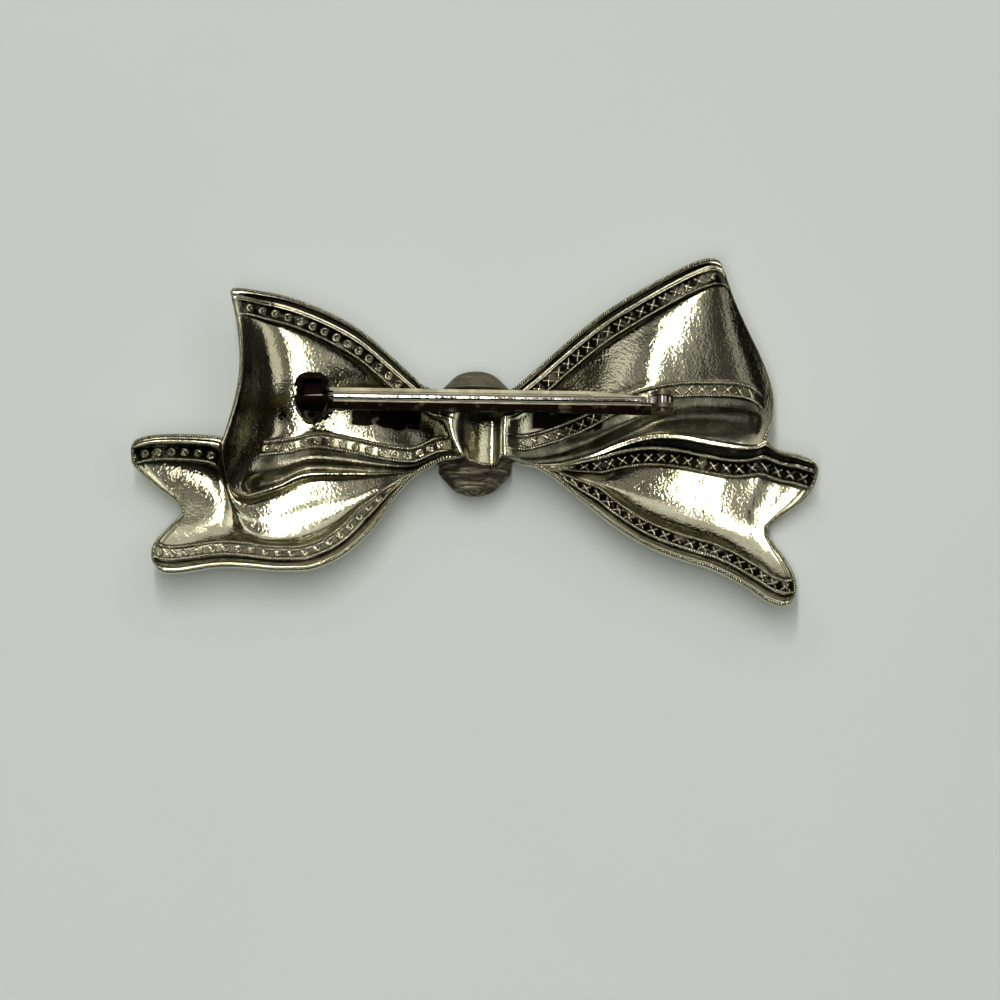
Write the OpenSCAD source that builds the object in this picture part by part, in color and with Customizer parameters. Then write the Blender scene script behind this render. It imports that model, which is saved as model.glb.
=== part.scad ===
// Bow brooch of die-stamped sheet metal.
// It lies face down, so the hollow back with its pin and safety catch is on top.
// X runs along the pin, from the catch to the hinge. Y runs from the tails to the tops of the loops.

/* [Bow sheet] */
// Thickness of the sheet
sheet = 0.7; // [0.5:0.05:1]
// Height of the loops' rims above the surface that the brooch lies on
rim_z = 5.4; // [4.6:0.1:6.4]
// Width of the flat rim
rim_w = 0.4; // [0.3:0.05:0.6]
// Width of the wall inside a loop's upper rim
loop_wall_w = 0.45; // [0.3:0.05:0.8]
// Width of the wall inside a tail's upper rim where it is narrow
tail_narrow_wall_w = 0.2; // [0.1:0.05:0.5]
// Width of the same wall where it is wide and steep
tail_wide_wall_w = 0.7; // [0.5:0.05:1]
// Width of the wall inside a tail's lower rim
tail_lower_wall_w = 1; // [0.6:0.05:1.2]
// Width of the smooth ridge between a loop's wall and its motif row
ridge_w = 0.5; // [0.3:0.05:0.6]
// Width of each raised line beside the motif row
line_w = 0.3; // [0.2:0.05:0.4]
// Height of each raised line
line_h = 0.14; // [0.08:0.02:0.2]
// Width of the motif row in the border band
motif_w = 1.1; // [0.8:0.1:1.3]
// Breadth of a loop or tail at which its borders have their full width
full_border_at = 7; // [6.5:0.1:8]

/* [Waist] */
// Length of the smooth waist between the loops, along X
waist_w = 6.6; // [5.6:0.1:7.6]
// Breadth of the waist, along Y
waist_h = 6.6; // [5.8:0.1:7.2]
// Distance of the waist's middle from the middle of the bow
waist_shift = 0.75; // [0:0.05:1.2]
// Depth of the hollow across the waist
waist_drop = 2.1; // [1.4:0.1:2.6]

/* [Loops] */
// Reach of the left loop from the middle
left_loop_reach = 25.3; // [22:0.1:29]
// Rise of the left loop's top corner
left_loop_rise = 14.4; // [12:0.1:17]
// Reach of the right loop from the middle
right_loop_reach = 29.2; // [26:0.1:33]
// Rise of the right loop's top corner
right_loop_rise = 18.3; // [15:0.1:21]

/* [Tails] */
// Reach of the left tail from the middle
left_tail_reach = 34.5; // [31:0.1:38]
// Drop of the left tail's lower tip
left_tail_drop = 14.9; // [13:0.1:17]
// Depth of the notch in the end of the left tail
left_notch = 3.5; // [2:0.1:4.5]
// Reach of the right tail from the middle
right_tail_reach = 34.5; // [32:0.1:38]
// Drop of the right tail's lower tip
right_tail_drop = 17.3; // [15:0.1:20]
// Depth of the notch in the end of the right tail
right_notch = 3.4; // [2:0.1:4.5]

/* [Knot] */
// Width of the knot, along X
knot_w = 8.1; // [7:0.1:9]
// Length of the knot, along Y
knot_l = 12.9; // [12:0.1:14]
// Height of the knot's widest line above the surface
knot_mid_z = 2.6; // [2:0.1:3]
// Height of the knot's ends above the surface
knot_top_z = 4.4; // [3.8:0.1:5]
// Depth of the pleats
pleat_h = 0.16; // [0:0.02:0.24]
// Distance from one pleat to the next
pleat_pitch = 2.1; // [1.6:0.1:3]

/* [Pin back] */
// Width of the strip
bar_w = 2.2; // [1.8:0.1:3]
// Thickness of the strip
bar_t = 0.6; // [0.4:0.05:0.9]
// Width of the raised edges along the strip
bar_edge_w = 0.35; // [0.2:0.05:0.5]
// Depth of the shallow channel between the raised edges
bar_channel = 0.15; // [0.05:0.05:0.2]
// Length of the strip's tapered end
bar_taper_l = 7; // [4:0.5:12]
// Distance from the catch to the hinge
pin_span = 35; // [32:0.5:37]
// Distance of the hinge from the middle of the bow
hinge_x = 18.7; // [17.5:0.1:20]
// Distance of the strip's centre line from the pin's, along Y
bar_shift = 0.3; // [0:0.05:0.4]
// Distance of the pin from the middle of the bow, along Y
bar_y = 2.65; // [2.2:0.1:3.4]
// Height of the pin's axis above the strip
pin_rise = 2.1; // [1.9:0.05:2.4]

/* [Hinge] */
// Thickness of each ear
ear_t = 0.45; // [0.35:0.05:0.6]
// Radius of the ears' round tops
ear_r = 1.1; // [0.9:0.05:1.3]
// Radius of the rivet
rivet_r = 0.33; // [0.25:0.01:0.38]
// Radius of the rivet's heads
rivet_head_r = 0.6; // [0.5:0.05:0.75]
// Thickness of the rivet's heads
rivet_head_t = 0.22; // [0.15:0.01:0.35]

/* [Pin] */
// Radius of the pin
pin_r = 0.36; // [0.3:0.01:0.42]
// Length of the pin's pointed end
point_l = 3; // [2:0.1:4]
// Outer radius of the pin's eye
eye_r = 0.85; // [0.75:0.05:1]
// Thickness of the pin's eye
eye_t = 0.65; // [0.5:0.05:0.9]
// Distance from the hinge to the end of the flattened neck beside the eye
neck_l = 2.2; // [1.6:0.1:3.5]
// Height of the flattened neck
neck_h = 0.85; // [0.75:0.05:1]

/* [Catch] */
// Outer radius of the catch housing
catch_r = 2.35; // [2.2:0.05:2.6]
// Thickness of the housing's wall
catch_wall = 0.55; // [0.4:0.05:0.65]
// Length of the housing, along X
catch_l = 3.4; // [3:0.1:3.8]
// Distance from the housing's far edge to the pin's point
point_past = 0.9; // [0.4:0.1:1.4]
// Width of the slot that the pin drops into
slot_w = 0.95; // [0.9:0.01:1.1]
// Thickness of the roller's thumb tab
tab_t = 0.5; // [0.4:0.05:0.6]
// Width of the thumb tab, along X
tab_w = 1.9; // [1.6:0.05:2.1]
// Width of the opening in the thumb tab
tab_eye = 0.8; // [0.6:0.05:1]
// Distance that the thumb tab stands out of the housing
tab_out = 0.75; // [0.5:0.05:1.1]

/* [Fits] */
// Running clearance of pins, eyes and the roller
run_gap = 0.04; // [0.02:0.01:0.06]
// Gap between pieces that are seated on each other
seat_gap = 0.1; // [0.05:0.01:0.2]

/* [Hidden] */
$fn = 48;

waist_left = waist_w / 2 - waist_shift;
waist_right = waist_w / 2 + waist_shift;

// Rows of the left loop, from the waist to its open end.
// Each row is a line across the loop, from the upper rim (a) to the lip under the rolled edge (b).
// ax, bx: shares of the way from the waist to the reach. ay, by: shares of the rise.
// bow: bend of the line towards +X, share of the rise.
// depth: share of the full depth at the line's lowest stretch. lip: height of b as a share of the rim's.
// roll: width of the rolled edge as a share of the line's length. groove: place of its groove in that width.
left_loop_rows = [
    // ax, ay, bx, by, bow, depth, lip, roll, groove
    [-0.051, 0.239, -0.059, -0.18, -0.076, 0.04, 1, 0.08, 0.4],
    [0.104, 0.308, 0.051, -0.19, 0, 0.45, 0.86, 0.1, 0.4],
    [0.175, 0.399, 0.159, -0.262, 0, 0.78, 0.66, 0.115, 0.36],
    [0.273, 0.54, 0.304, -0.274, 0, 0.92, 0.52, 0.14, 0.32],
    [0.393, 0.701, 0.471, -0.27, 0.02, 0.955, 0.46, 0.164, 0.28],
    [0.521, 0.819, 0.637, -0.277, 0.04, 0.965, 0.42, 0.18, 0.25],
    [0.667, 0.915, 0.751, -0.36, 0.07, 0.985, 0.42, 0.19, 0.25],
    [0.773, 0.962, 0.833, -0.41, 0.1, 0.93, 0.46, 0.2, 0.25],
    [0.848, 0.982, 0.899, -0.44, 0.125, 0.77, 0.54, 0.2, 0.28],
    [0.9, 0.995, 0.961, -0.4, 0.14, 0.52, 0.68, 0.19, 0.3],
    [0.94, 1.001, 0.988, -0.291, 0.13, 0.26, 0.84, 0.16, 0.3],
    [0.971, 1, 0.999, -0.163, 0.11, 0.05, 0.96, 0.12, 0.3],
    [0.983, 0.971, 0.999, -0.077, 0.09, 0, 1, 0.1, 0.3],
];

// Rows of the right loop, in the same columns
right_loop_rows = [
    // ax, ay, bx, by, bow, depth, lip, roll, groove
    [-0.052, 0.211, -0.046, -0.137, 0, 0.04, 1, 0.12, 0.15],
    [-0.005, 0.251, 0.045, -0.169, 0, 0.26, 0.82, 0.17, 0.15],
    [0.083, 0.359, 0.18, -0.15, 0, 0.48, 0.64, 0.215, 0.15],
    [0.212, 0.524, 0.299, -0.097, 0, 0.72, 0.58, 0.225, 0.15],
    [0.345, 0.679, 0.417, -0.03, 0, 0.94, 0.62, 0.25, 0.22],
    [0.483, 0.805, 0.536, 0.014, 0.02, 1, 0.72, 0.265, 0.4],
    [0.597, 0.897, 0.655, 0.01, 0.045, 0.84, 0.8, 0.27, 0.55],
    [0.684, 0.961, 0.766, -0.02, 0.07, 0.65, 0.84, 0.27, 0.62],
    [0.735, 0.99, 0.854, -0.042, 0.09, 0.475, 0.87, 0.265, 0.64],
    [0.774, 1, 0.917, -0.055, 0.1, 0.3, 0.91, 0.24, 0.64],
    [0.806, 0.986, 0.961, -0.054, 0.105, 0.12, 0.96, 0.17, 0.6],
    [0.827, 0.942, 0.997, -0.031, 0.105, 0, 1, 0.08, 0.6],
];

// Rows between the two crest lines of the waist: along (share of waist_w), drop (share of waist_drop),
// height (share of waist_h)
waist_rows = [[0.31, 0.58, 0.88], [0.5, 0.96, 0.95], [0.71, 0.985, 0.93]];

// Rows of the left tail beside the loop, one for each row of the loop, whose lip is their upper edge.
// bx, by: the lower rim, as shares of the way from the waist to the reach and of the drop.
// bow: share of the notch's depth. depth: share of the full depth. rim: height of b as a share of rim_z.
// band: share of the upper border band that shows. wall: how wide the wall beside
// the upper edge is, from 0, narrow, to 1, wide.
left_tail_inner = [
    // bx, by, bow, depth, rim, band, wall
    [-0.02, -0.188, 0, 0, 0.98, 0, 0],
    [0.027, -0.21, 0, 0.16, 0.96, 0, 0],
    [0.101, -0.302, 0, 0.38, 0.94, 0, 0],
    [0.165, -0.449, 0, 0.66, 0.92, 0, 0],
    [0.236, -0.679, 0, 0.84, 0.9, 0, 0],
    [0.322, -0.854, 0, 0.926, 0.88, 0, 0],
    [0.415, -0.954, 0, 0.973, 0.87, 0, 0],
    [0.493, -0.97, 0.02, 0.985, 0.86, 0, 0],
    [0.549, -0.969, 0.05, 0.966, 0.85, 0, 0],
    [0.599, -0.96, 0.09, 0.922, 0.85, 0, 0],
    [0.643, -0.955, 0.14, 0.854, 0.85, 0, 0],
    [0.687, -0.953, 0.21, 0.775, 0.85, 0.4, 0],
    [0.731, -0.958, 0.29, 0.735, 0.85, 1, 0],
];

// Rows of the left tail past the loop. top: height of a as a share of rim_z
left_tail_outer = [
    // ax, ay, top, bx, by, bow, depth, rim, band, wall
    [0.781, -0.057, 1, 0.771, -0.973, 0.5, 0.735, 0.85, 1, 0],
    [0.843, -0.052, 0.98, 0.809, -0.988, 0.7, 0.71, 0.85, 1, 0],
    [0.897, -0.054, 0.96, 0.843, -0.999, 0.83, 0.675, 0.85, 1, 0],
    [0.937, -0.062, 0.95, 0.871, -1, 0.92, 0.645, 0.85, 1, 0],
    [0.965, -0.077, 0.94, 0.89, -0.991, 0.97, 0.625, 0.85, 1, 0],
    [0.987, -0.098, 0.93, 0.906, -0.97, 1, 0.605, 0.85, 1, 0],
];

// Rows of the right tail, in the same columns
right_tail_inner = [
    // bx, by, bow, depth, rim, band, wall
    [0.015, -0.162, 0, 0, 0.98, 1, 0],
    [0.064, -0.199, 0, 0.18, 0.96, 1, 0],
    [0.137, -0.277, 0, 0.46, 0.94, 1, 0],
    [0.223, -0.4, 0, 0.8, 0.92, 1, 0],
    [0.32, -0.534, 0, 0.9, 0.9, 1, 0.2],
    [0.419, -0.644, 0, 0.965, 0.89, 1, 0.5],
    [0.505, -0.709, 0.02, 0.995, 0.88, 1, 0.7],
    [0.581, -0.752, 0.05, 0.992, 0.87, 1, 0.8],
    [0.637, -0.78, 0.09, 0.985, 0.86, 1, 0.8],
    [0.676, -0.809, 0.13, 0.955, 0.86, 1, 0.7],
    [0.713, -0.84, 0.18, 0.92, 0.85, 1, 0.6],
    [0.752, -0.878, 0.25, 0.885, 0.85, 1, 0.6],
];
right_tail_outer = [
    // ax, ay, top, bx, by, bow, depth, rim, band, wall
    [0.857, -0.079, 0.99, 0.792, -0.924, 0.5, 0.868, 0.85, 1, 0.5],
    [0.893, -0.096, 0.97, 0.825, -0.965, 0.7, 0.855, 0.85, 1, 0.5],
    [0.926, -0.107, 0.96, 0.852, -0.988, 0.85, 0.845, 0.85, 1, 0.4],
    [0.955, -0.124, 0.95, 0.878, -1, 0.95, 0.835, 0.85, 1, 0.4],
    [0.982, -0.147, 0.94, 0.907, -0.992, 1, 0.82, 0.85, 1, 0.3],
];

// Ends of the tails: across (share of the way from the upper to the lower rim), into (share of the notch)
left_end = [
    [0, 0], [0.08, -0.18], [0.15, -0.2], [0.23, 0.03], [0.35, 0.51], [0.44, 0.9], [0.5, 1],
    [0.64, 0.54], [0.75, 0.13], [0.84, -0.08], [0.92, -0.12], [1, 0],
];
right_end = [
    [0, 0], [0.06, -0.2], [0.13, -0.16], [0.23, 0.09], [0.32, 0.56], [0.39, 0.91], [0.43, 1],
    [0.53, 0.76], [0.63, 0.38], [0.77, 0], [0.88, -0.13], [0.96, -0.09], [1, 0],
];
// Where the lines across a loop bend most: above 1 is nearer the lip
left_bend_at = 1;
right_bend_at = 1.8;
left_notch_at = 0.5;
right_notch_at = 0.43;

// Levels across a border, as shares of the depth: of a loop's upper border, of a tail's upper border beside a narrow
// wall and beside the widest one, of its lower border, and of its upper edge where it has no border
rim_levels = [0, 0, 0.2, 0.22, 0.25, 0.34, 0.36, 0.38];
tail_upper_levels = [0, 0, 0.06, 0.1, 0.32, 0.54, 0.58, 0.62];
tail_steep_levels = [0, 0, 0.72, 0.74, 0.78, 0.88, 0.91, 0.93];
tail_lower_levels = [0, 0, 0.36, 0.38, 0.41, 0.55, 0.58, 0.61];
lip_levels = [0, 0.2, 0.74, 0.8, 0.84, 0.94, 0.95, 0.96];
// Levels from the rolled edge's foot to the field, as shares of the depth
lower_levels = [0.86, 0.88, 0.89, 0.9, 0.9, 0.9];
// Places and heights on the rolled edge between the lip and its groove, as shares
roll_places = [0, 0.5, 1];
roll_heights = [1, 0.5, 0];

// Level of a loop's field beside its border, and extra depth in its middle, as shares of the depth
field_edge = 0.44;
field_sag = 0.05;
// Width of the step from a loop's border to its field, and its most as a share of the field's width
field_step = 0.3;
field_step_share = 0.3;

// Roundness of a tail's field across it: smaller is flatter in the middle
field_round = 0.8;

steps = 2;
field_count = 5;
full_depth = rim_z - sheet;

// Row between rows, on a smooth curve through them
function along(rows, t) =
    let (last = len(rows) - 1, i = min(floor(t), last - 1), f = t - i)
    let (p = rows[max(i - 1, 0)], q = rows[i], r = rows[i + 1], s = rows[min(i + 2, last)])
    0.5 * (2 * q + (r - p) * f + (2 * p - 5 * q + 4 * r - s) * f * f + (3 * q - p - 3 * r + s) * f * f * f);

function fine(rows) = [for (k = [0:(len(rows) - 1) * steps]) along(rows, k / steps)];
function reversed(list) = [for (k = [len(list) - 1:-1:0]) list[k]];
function part_of(row, first, count) = [for (k = [first:first + count - 1]) row[k]];
function mix(a, b, t) = a + (b - a) * t;
function running(list) =
    [for (k = 0, sum = 0; k <= len(list); sum = sum + (k < len(list) ? list[k] : 0), k = k + 1) sum];

// Loop rows in millimetres: ax, ay, bx, by, bow, top, depth, lip, roll, bend_at, groove
function loop_row(r, side, start, reach, rise, bend_at) =
    let (x = side * start, way = side * (reach - start))
    [x + r[0] * way, r[1] * rise, x + r[2] * way, r[3] * rise, r[4] * rise, rim_z, r[5] * full_depth, r[6] * rim_z,
        r[7], bend_at, r[8]];

function waist_row(r) =
    let (x = -waist_left + r[0] * waist_w, y = r[2] * waist_h / 2, z = rim_z - r[1] * waist_drop)
    [x, y, x, -y, 0, z, 0, z, left_loop_rows[0][7], 1, left_loop_rows[0][8]];

left_rows = [for (r = left_loop_rows) loop_row(r, -1, waist_left, left_loop_reach, left_loop_rise, left_bend_at)];
right_rows = [
    for (r = right_loop_rows) loop_row(r, 1, waist_right, right_loop_reach, right_loop_rise, right_bend_at)
];
strip_rows = fine(concat(reversed(left_rows), [for (r = waist_rows) waist_row(r)], right_rows));
strip_last = len(strip_rows) - 1;
left_last = (len(left_rows) - 1) * steps;
right_last = (len(right_rows) - 1) * steps;
waist_end = strip_last - right_last;

// Distances across a border from its edge, narrower where the line is short
function fit(w) = min(1, w / full_border_at);
function border_places(w, wall, first) =
    fit(w) * running([rim_w, wall, first / 2, first / 2, motif_w, line_w / 2, line_w / 2]);
function line_rise(k, w, depth) = k == 3 || k == 6 ? line_h * fit(w) * min(1, depth) : 0;

// One line across a loop, as points
function loop_line(r) =
    let (a = [r[0], r[1]], b = [r[2], r[3]], w = norm(b - a), top = r[5], depth = r[6], lip = r[7])
    let (roll = r[8] * w, up = border_places(w, loop_wall_w, ridge_w))
    let (band = running([line_w / 2, line_w / 2, motif_w, line_w / 2, line_w / 2]))
    let (low = [for (s = band) roll + fit(w) * s], from = up[7], to = w - low[5])
    let (groove = top - depth)
    let (upper = [for (k = [0:7]) [up[k], top - depth * rim_levels[k] + line_rise(k, w, depth)]])
    let (foot = from + min(field_step * fit(w), field_step_share * (to - from)))
    let (field = [
        for (k = [0:field_count])
            let (t = k / (field_count + 1))
            [mix(foot, to, t), top - depth * (mix(field_edge, lower_levels[5], t) + field_sag * sin(180 * t))]
    ])
    let (lower = [
        for (k = [5:-1:0])
            [w - low[k], top - depth * lower_levels[k] + (k == 1 || k == 4 ? line_h * fit(w) * min(1, depth) : 0)]
    ])
    let (rolled = [for (k = [2:-1:0]) [w - roll * r[10] * roll_places[k], mix(groove, lip, roll_heights[k])]])
    [for (p = concat(upper, field, lower, rolled))
        let (v = p[0] / w, q = mix(a, b, v))
        [q[0] + r[4] * sin(180 * pow(v, r[9])), q[1], p[1]]];

strip = [for (r = strip_rows) loop_line(r)];
strip_cols = len(strip[0]) - 1;

// Tail rows in millimetres: ax, ay, az, bx, by, bow, depth, bz, band, wall
function tail_rows(inner, outer, loop, side, start, reach, drop, notch) =
    let (x = side * start, way = side * (reach - start))
    concat(
        [for (k = [0:len(inner) - 1])
            let (r = inner[k])
            concat([loop[k][2], loop[k][3], loop[k][7]],
                [x + r[0] * way, r[1] * drop, -side * r[2] * notch, r[3] * full_depth, r[4] * rim_z, r[5], r[6]])],
        [for (r = outer)
            [x + r[0] * way, r[1] * drop, r[2] * rim_z, x + r[3] * way, r[4] * drop, -side * r[5] * notch,
                r[6] * full_depth, r[7] * rim_z, r[8], r[9]]]
    );

// One line across a tail, as points. The first point is given, where the tail meets the loop's lip
function tail_line(r, first, end, notch_at) =
    let (a = [first[0], first[1]], b = [r[3], r[4]], w = norm(b - a), floor_z = rim_z - r[6], band = r[8])
    let (top = first[2], rim = r[7], wall = mix(tail_narrow_wall_w, tail_wide_wall_w, r[9]))
    let (up = border_places(w, wall, line_w), level = mix(tail_upper_levels, tail_steep_levels, r[9]))
    let (low = border_places(w, tail_lower_wall_w, line_w), from = up[7], to = w - low[7])
    let (upper = [
        for (k = [0:7])
            [up[k], mix(top, min(top, floor_z), mix(lip_levels[k], level[k], band))
                + band * line_rise(k, w, top - floor_z)]
    ])
    let (lower = [
        for (k = [7:-1:0]) [w - low[k], mix(rim, floor_z, tail_lower_levels[k]) + line_rise(k, w, rim - floor_z)]
    ])
    let (n = (notch_at * w - from) / (to - from), places = [n / 2, n, mix(n, 1, 0.25), mix(n, 1, 0.5), mix(n, 1, 0.75)])
    let (field = [
        for (t = places)
            [mix(from, to, t), mix(mix(upper[7][1], lower[0][1], t), floor_z, pow(sin(180 * t), field_round))]
    ])
    [for (p = concat(upper, field, lower))
        let (v = p[0] / w, q = mix(a, b, v))
        [q[0] + r[5] * lookup(v, end), q[1], p[1]]];

function tail_grid(rows, edge, end, notch_at) =
    [for (k = [0:len(rows) - 1]) tail_line(rows[k], k < len(edge) ? edge[k] : part_of(rows[k], 0, 3), end, notch_at)];

left_edge = [for (k = [0:left_last]) strip[left_last - k][strip_cols]];
right_edge = [for (k = [0:right_last]) strip[waist_end + k][strip_cols]];
left_tail = tail_grid(
    fine(tail_rows(left_tail_inner, left_tail_outer, left_rows, -1, waist_left, left_tail_reach, left_tail_drop,
        left_notch)),
    left_edge, left_end, left_notch_at);
right_tail = tail_grid(
    fine(tail_rows(right_tail_inner, right_tail_outer, right_rows, 1, waist_right, right_tail_reach, right_tail_drop,
        right_notch)),
    right_edge, right_end, right_notch_at);
left_tail_last = len(left_tail) - 1;
right_tail_last = len(right_tail) - 1;
tail_cols = len(left_tail[0]) - 1;

// Thickness of the sheet measured straight down, greater where it slopes. The front stays on or above the surface
function down(grid, i, j) =
    let (u = grid[min(i + 1, len(grid) - 1)][j] - grid[max(i - 1, 0)][j])
    let (v = grid[i][min(j + 1, len(grid[0]) - 1)] - grid[i][max(j - 1, 0)])
    let (n = cross(u, v))
    sheet * min(1.6, norm(n) / max(abs(n[2]), 0.001));
function front(grid, i, j) = let (p = grid[i][j]) [p[0], p[1], max(p[2] - down(grid, i, j), 0)];

// Points in one list: the strip, then each tail without the points that it shares with the strip
function own(last, shared, col) = [for (i = [0:last], j = [0:col]) if (j > 0 || i > shared) [i, j]];
strip_own = own(strip_last, -1, strip_cols);
left_own = own(left_tail_last, left_last, tail_cols);
right_own = own(right_tail_last, right_last, tail_cols);
back_points = concat([for (p = strip_own) strip[p[0]][p[1]]], [for (p = left_own) left_tail[p[0]][p[1]]],
    [for (p = right_own) right_tail[p[0]][p[1]]]);
front_points = concat([for (p = strip_own) front(strip, p[0], p[1])], [for (p = left_own) front(left_tail, p[0], p[1])],
    [for (p = right_own) front(right_tail, p[0], p[1])]);
count = len(back_points);

function strip_at(i, j) = i * (strip_cols + 1) + j;
function tail_at(base, shared, k, j) =
    k <= shared
    ? base + k * tail_cols + j - 1
    : base + (shared + 1) * tail_cols + (k - shared - 1) * (tail_cols + 1) + j;
function left_at(k, j) =
    j == 0 && k <= left_last ? strip_at(left_last - k, strip_cols) : tail_at(len(strip_own), left_last, k, j);
function right_at(k, j) =
    j == 0 && k <= right_last
    ? strip_at(waist_end + k, strip_cols)
    : tail_at(len(strip_own) + len(left_own), right_last, k, j);

function halves(a, b, c, d) = [[a, b, c], [a, c, d]];
function flipped(faces) = [for (f = faces) [f[2], f[1], f[0]]];
back_faces = concat(
    [for (i = [0:strip_last - 1], j = [0:strip_cols - 1])
        each halves(strip_at(i, j), strip_at(i + 1, j), strip_at(i + 1, j + 1), strip_at(i, j + 1))],
    [for (k = [0:left_tail_last - 1], j = [0:tail_cols - 1])
        each halves(left_at(k + 1, j), left_at(k, j), left_at(k, j + 1), left_at(k + 1, j + 1))],
    [for (k = [0:right_tail_last - 1], j = [0:tail_cols - 1])
        each halves(right_at(k, j), right_at(k + 1, j), right_at(k + 1, j + 1), right_at(k, j + 1))]
);

// The outline, as lists of points that follow each other
outline_runs = [
    [for (i = [0:strip_last]) strip_at(i, 0)],
    [for (j = [0:strip_cols]) strip_at(strip_last, j)],
    [for (i = [waist_end:-1:left_last]) strip_at(i, strip_cols)],
    [for (j = [strip_cols:-1:0]) strip_at(0, j)],
    [for (k = [left_tail_last:-1:left_last]) left_at(k, 0)],
    [for (j = [0:tail_cols]) left_at(0, j)],
    [for (k = [0:left_tail_last]) left_at(k, tail_cols)],
    [for (j = [tail_cols:-1:0]) left_at(left_tail_last, j)],
    [for (k = [right_last:right_tail_last]) right_at(k, 0)],
    [for (j = [0:tail_cols]) right_at(right_tail_last, j)],
    [for (k = [right_tail_last:-1:0]) right_at(k, tail_cols)],
    [for (j = [tail_cols:-1:0]) right_at(0, j)],
];
side_faces = [
    for (run = outline_runs, k = [0:len(run) - 2])
        each halves(run[k + 1], run[k], run[k] + count, run[k + 1] + count)
];
front_faces = [for (f = flipped(back_faces)) [f[0] + count, f[1] + count, f[2] + count]];

// Places that the other pieces are seated on
sheet_top = max([for (p = back_points) p[2]]);
waist_under = min([for (i = [left_last:waist_end], j = [0:strip_cols]) front(strip, i, j)[2]]);
bar_z = sheet_top + seat_gap;
bar_top = bar_z + bar_t;
axis_z = bar_top + pin_rise;
catch_x = hinge_x - pin_span;
eye_gap = 2 * run_gap;
// Distance that a cutting shape runs past what it cuts
past_cut = 1;

// The whole is moved so that the middle of its outline is at the origin and its front rests on z = 0
middle = [for (axis = [0, 1])
    (max([for (p = back_points) p[axis]]) + min([for (p = back_points) p[axis]])) / 2];
lowest = min([for (p = front_points) p[2]]);
module place() {
    translate([-middle[0], -middle[1], -lowest])
        children();
}

module bow_shell() {
    color("silver")
        place()
            polyhedron(concat(back_points, front_points), concat(back_faces, front_faces, side_faces), convexity = 8);
}

// Rings of the knot, from its lower to its upper end
knot_rings = 28;
knot_sides = 24;
knot_y = 0.35;
knot_power = 0.75;
// How far the recess for the waist reaches past it, towards the tails and towards the loops' tops
recess_past_low = 0.4;
recess_past_high = 1.1;
recess_z = waist_under - seat_gap;
recess_low = -waist_h / 2 - recess_past_low;
recess_high = waist_h / 2 + recess_past_high;
recess_slope = 0.6;

function pleat(y) = cos(360 * y / pleat_pitch) * pleat_h;
function recess(y) =
    let (past = max(recess_low - y, y - recess_high, 0))
    mix(recess_z, knot_top_z, min(1, past / recess_slope));
function knot_point(k, j) =
    let (turn = -90 + 180 * (k + 0.5) / knot_rings, y = knot_l / 2 * sin(turn) / sin(90 - 90 / knot_rings))
    let (size = pow(cos(turn), knot_power), a = 360 * j / knot_sides)
    let (x = (knot_w / 2 - pleat_h) * size * sign(cos(a)) * pow(abs(cos(a)), 0.8))
    let (rise = (sin(a) > 0 ? knot_top_z - knot_mid_z : knot_mid_z - pleat_h - lowest) * size)
    let (swell = pleat(y) * size)
    let (z = knot_mid_z + (rise + swell) * sign(sin(a)) * pow(abs(sin(a)), 0.8))
    [x + swell * cos(a), y + knot_y, min(z, recess(y + knot_y))];

module knot_cap() {
    points = [for (k = [0:knot_rings - 1], j = [0:knot_sides - 1]) knot_point(k, j)];
    walls = [
        for (k = [0:knot_rings - 2], j = [0:knot_sides - 1])
            let (next = (j + 1) % knot_sides, row = k * knot_sides, up = row + knot_sides)
            each halves(row + j, row + next, up + next, up + j)
    ];
    caps = [[for (j = [knot_sides - 1:-1:0]) j], [for (j = [0:knot_sides - 1]) (knot_rings - 1) * knot_sides + j]];
    color("dimgray")
        place()
            polyhedron(points, concat(walls, caps), convexity = 6);
}

// Cylinder along X, centred on the pin's axis
module along_x(r, from, to) {
    translate([from, bar_y, axis_z])
        rotate([0, 90, 0])
            cylinder(r = r, h = to - from);
}

// Cylinder along Y, centred on the hinge
module along_y(r, width) {
    translate([hinge_x, bar_y + width / 2, axis_z])
        rotate([90, 0, 0])
            cylinder(r = r, h = width);
}

ear_gap = eye_t + 2 * eye_gap;
ears_w = ear_gap + 2 * ear_t;
strip_end = hinge_x + ear_r;
taper_from = hinge_x - bar_taper_l;
bar_from = bar_shift - bar_w / 2;
catch_from = catch_x - catch_l / 2;
catch_to = catch_x + catch_l / 2;
roller_r = catch_r - catch_wall - run_gap;
// The roller stays this far inside the housing's ends, and the thumb tab this far from the window's sides
end_gap = 0.2;
window_gap = 0.1;
// Turn of the thumb tab from upright while the catch is open
tab_open = 80;
// Depth of the window below the pin's axis, and height of its far edge above it, as shares of catch_r
window_low = 0.3;
window_back = 0.4;
// Bulge of the housing's and the roller's rounded ends, in plan
housing_bulge = 1.06;
roller_bulge = 1.03;
// Metal between the roller and the opening in the thumb tab
tab_root = 0.15;

module bar_strip() {
    translate([0, bar_y, bar_z])
        difference() {
            linear_extrude(bar_t)
                polygon([
                    [catch_from, bar_from], [taper_from, bar_from], [hinge_x - ear_r, -ears_w / 2],
                    [strip_end, -ears_w / 2], [strip_end, ears_w / 2], [hinge_x - ear_r, ears_w / 2],
                    [taper_from, bar_from + bar_w], [catch_from, bar_from + bar_w]
                ]);
            translate([catch_to + bar_edge_w, bar_from + bar_edge_w, bar_t - bar_channel])
                cube([taper_from - catch_to - bar_edge_w, bar_w - 2 * bar_edge_w, bar_t]);
        }
}

module ear() {
    rotate([90, 0, 0])
        linear_extrude(ear_t)
            union() {
                translate([0, axis_z])
                    circle(r = ear_r);
                translate([-ear_r, bar_z + bar_t / 2])
                    square([2 * ear_r, axis_z - bar_z - bar_t / 2]);
            }
}

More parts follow.
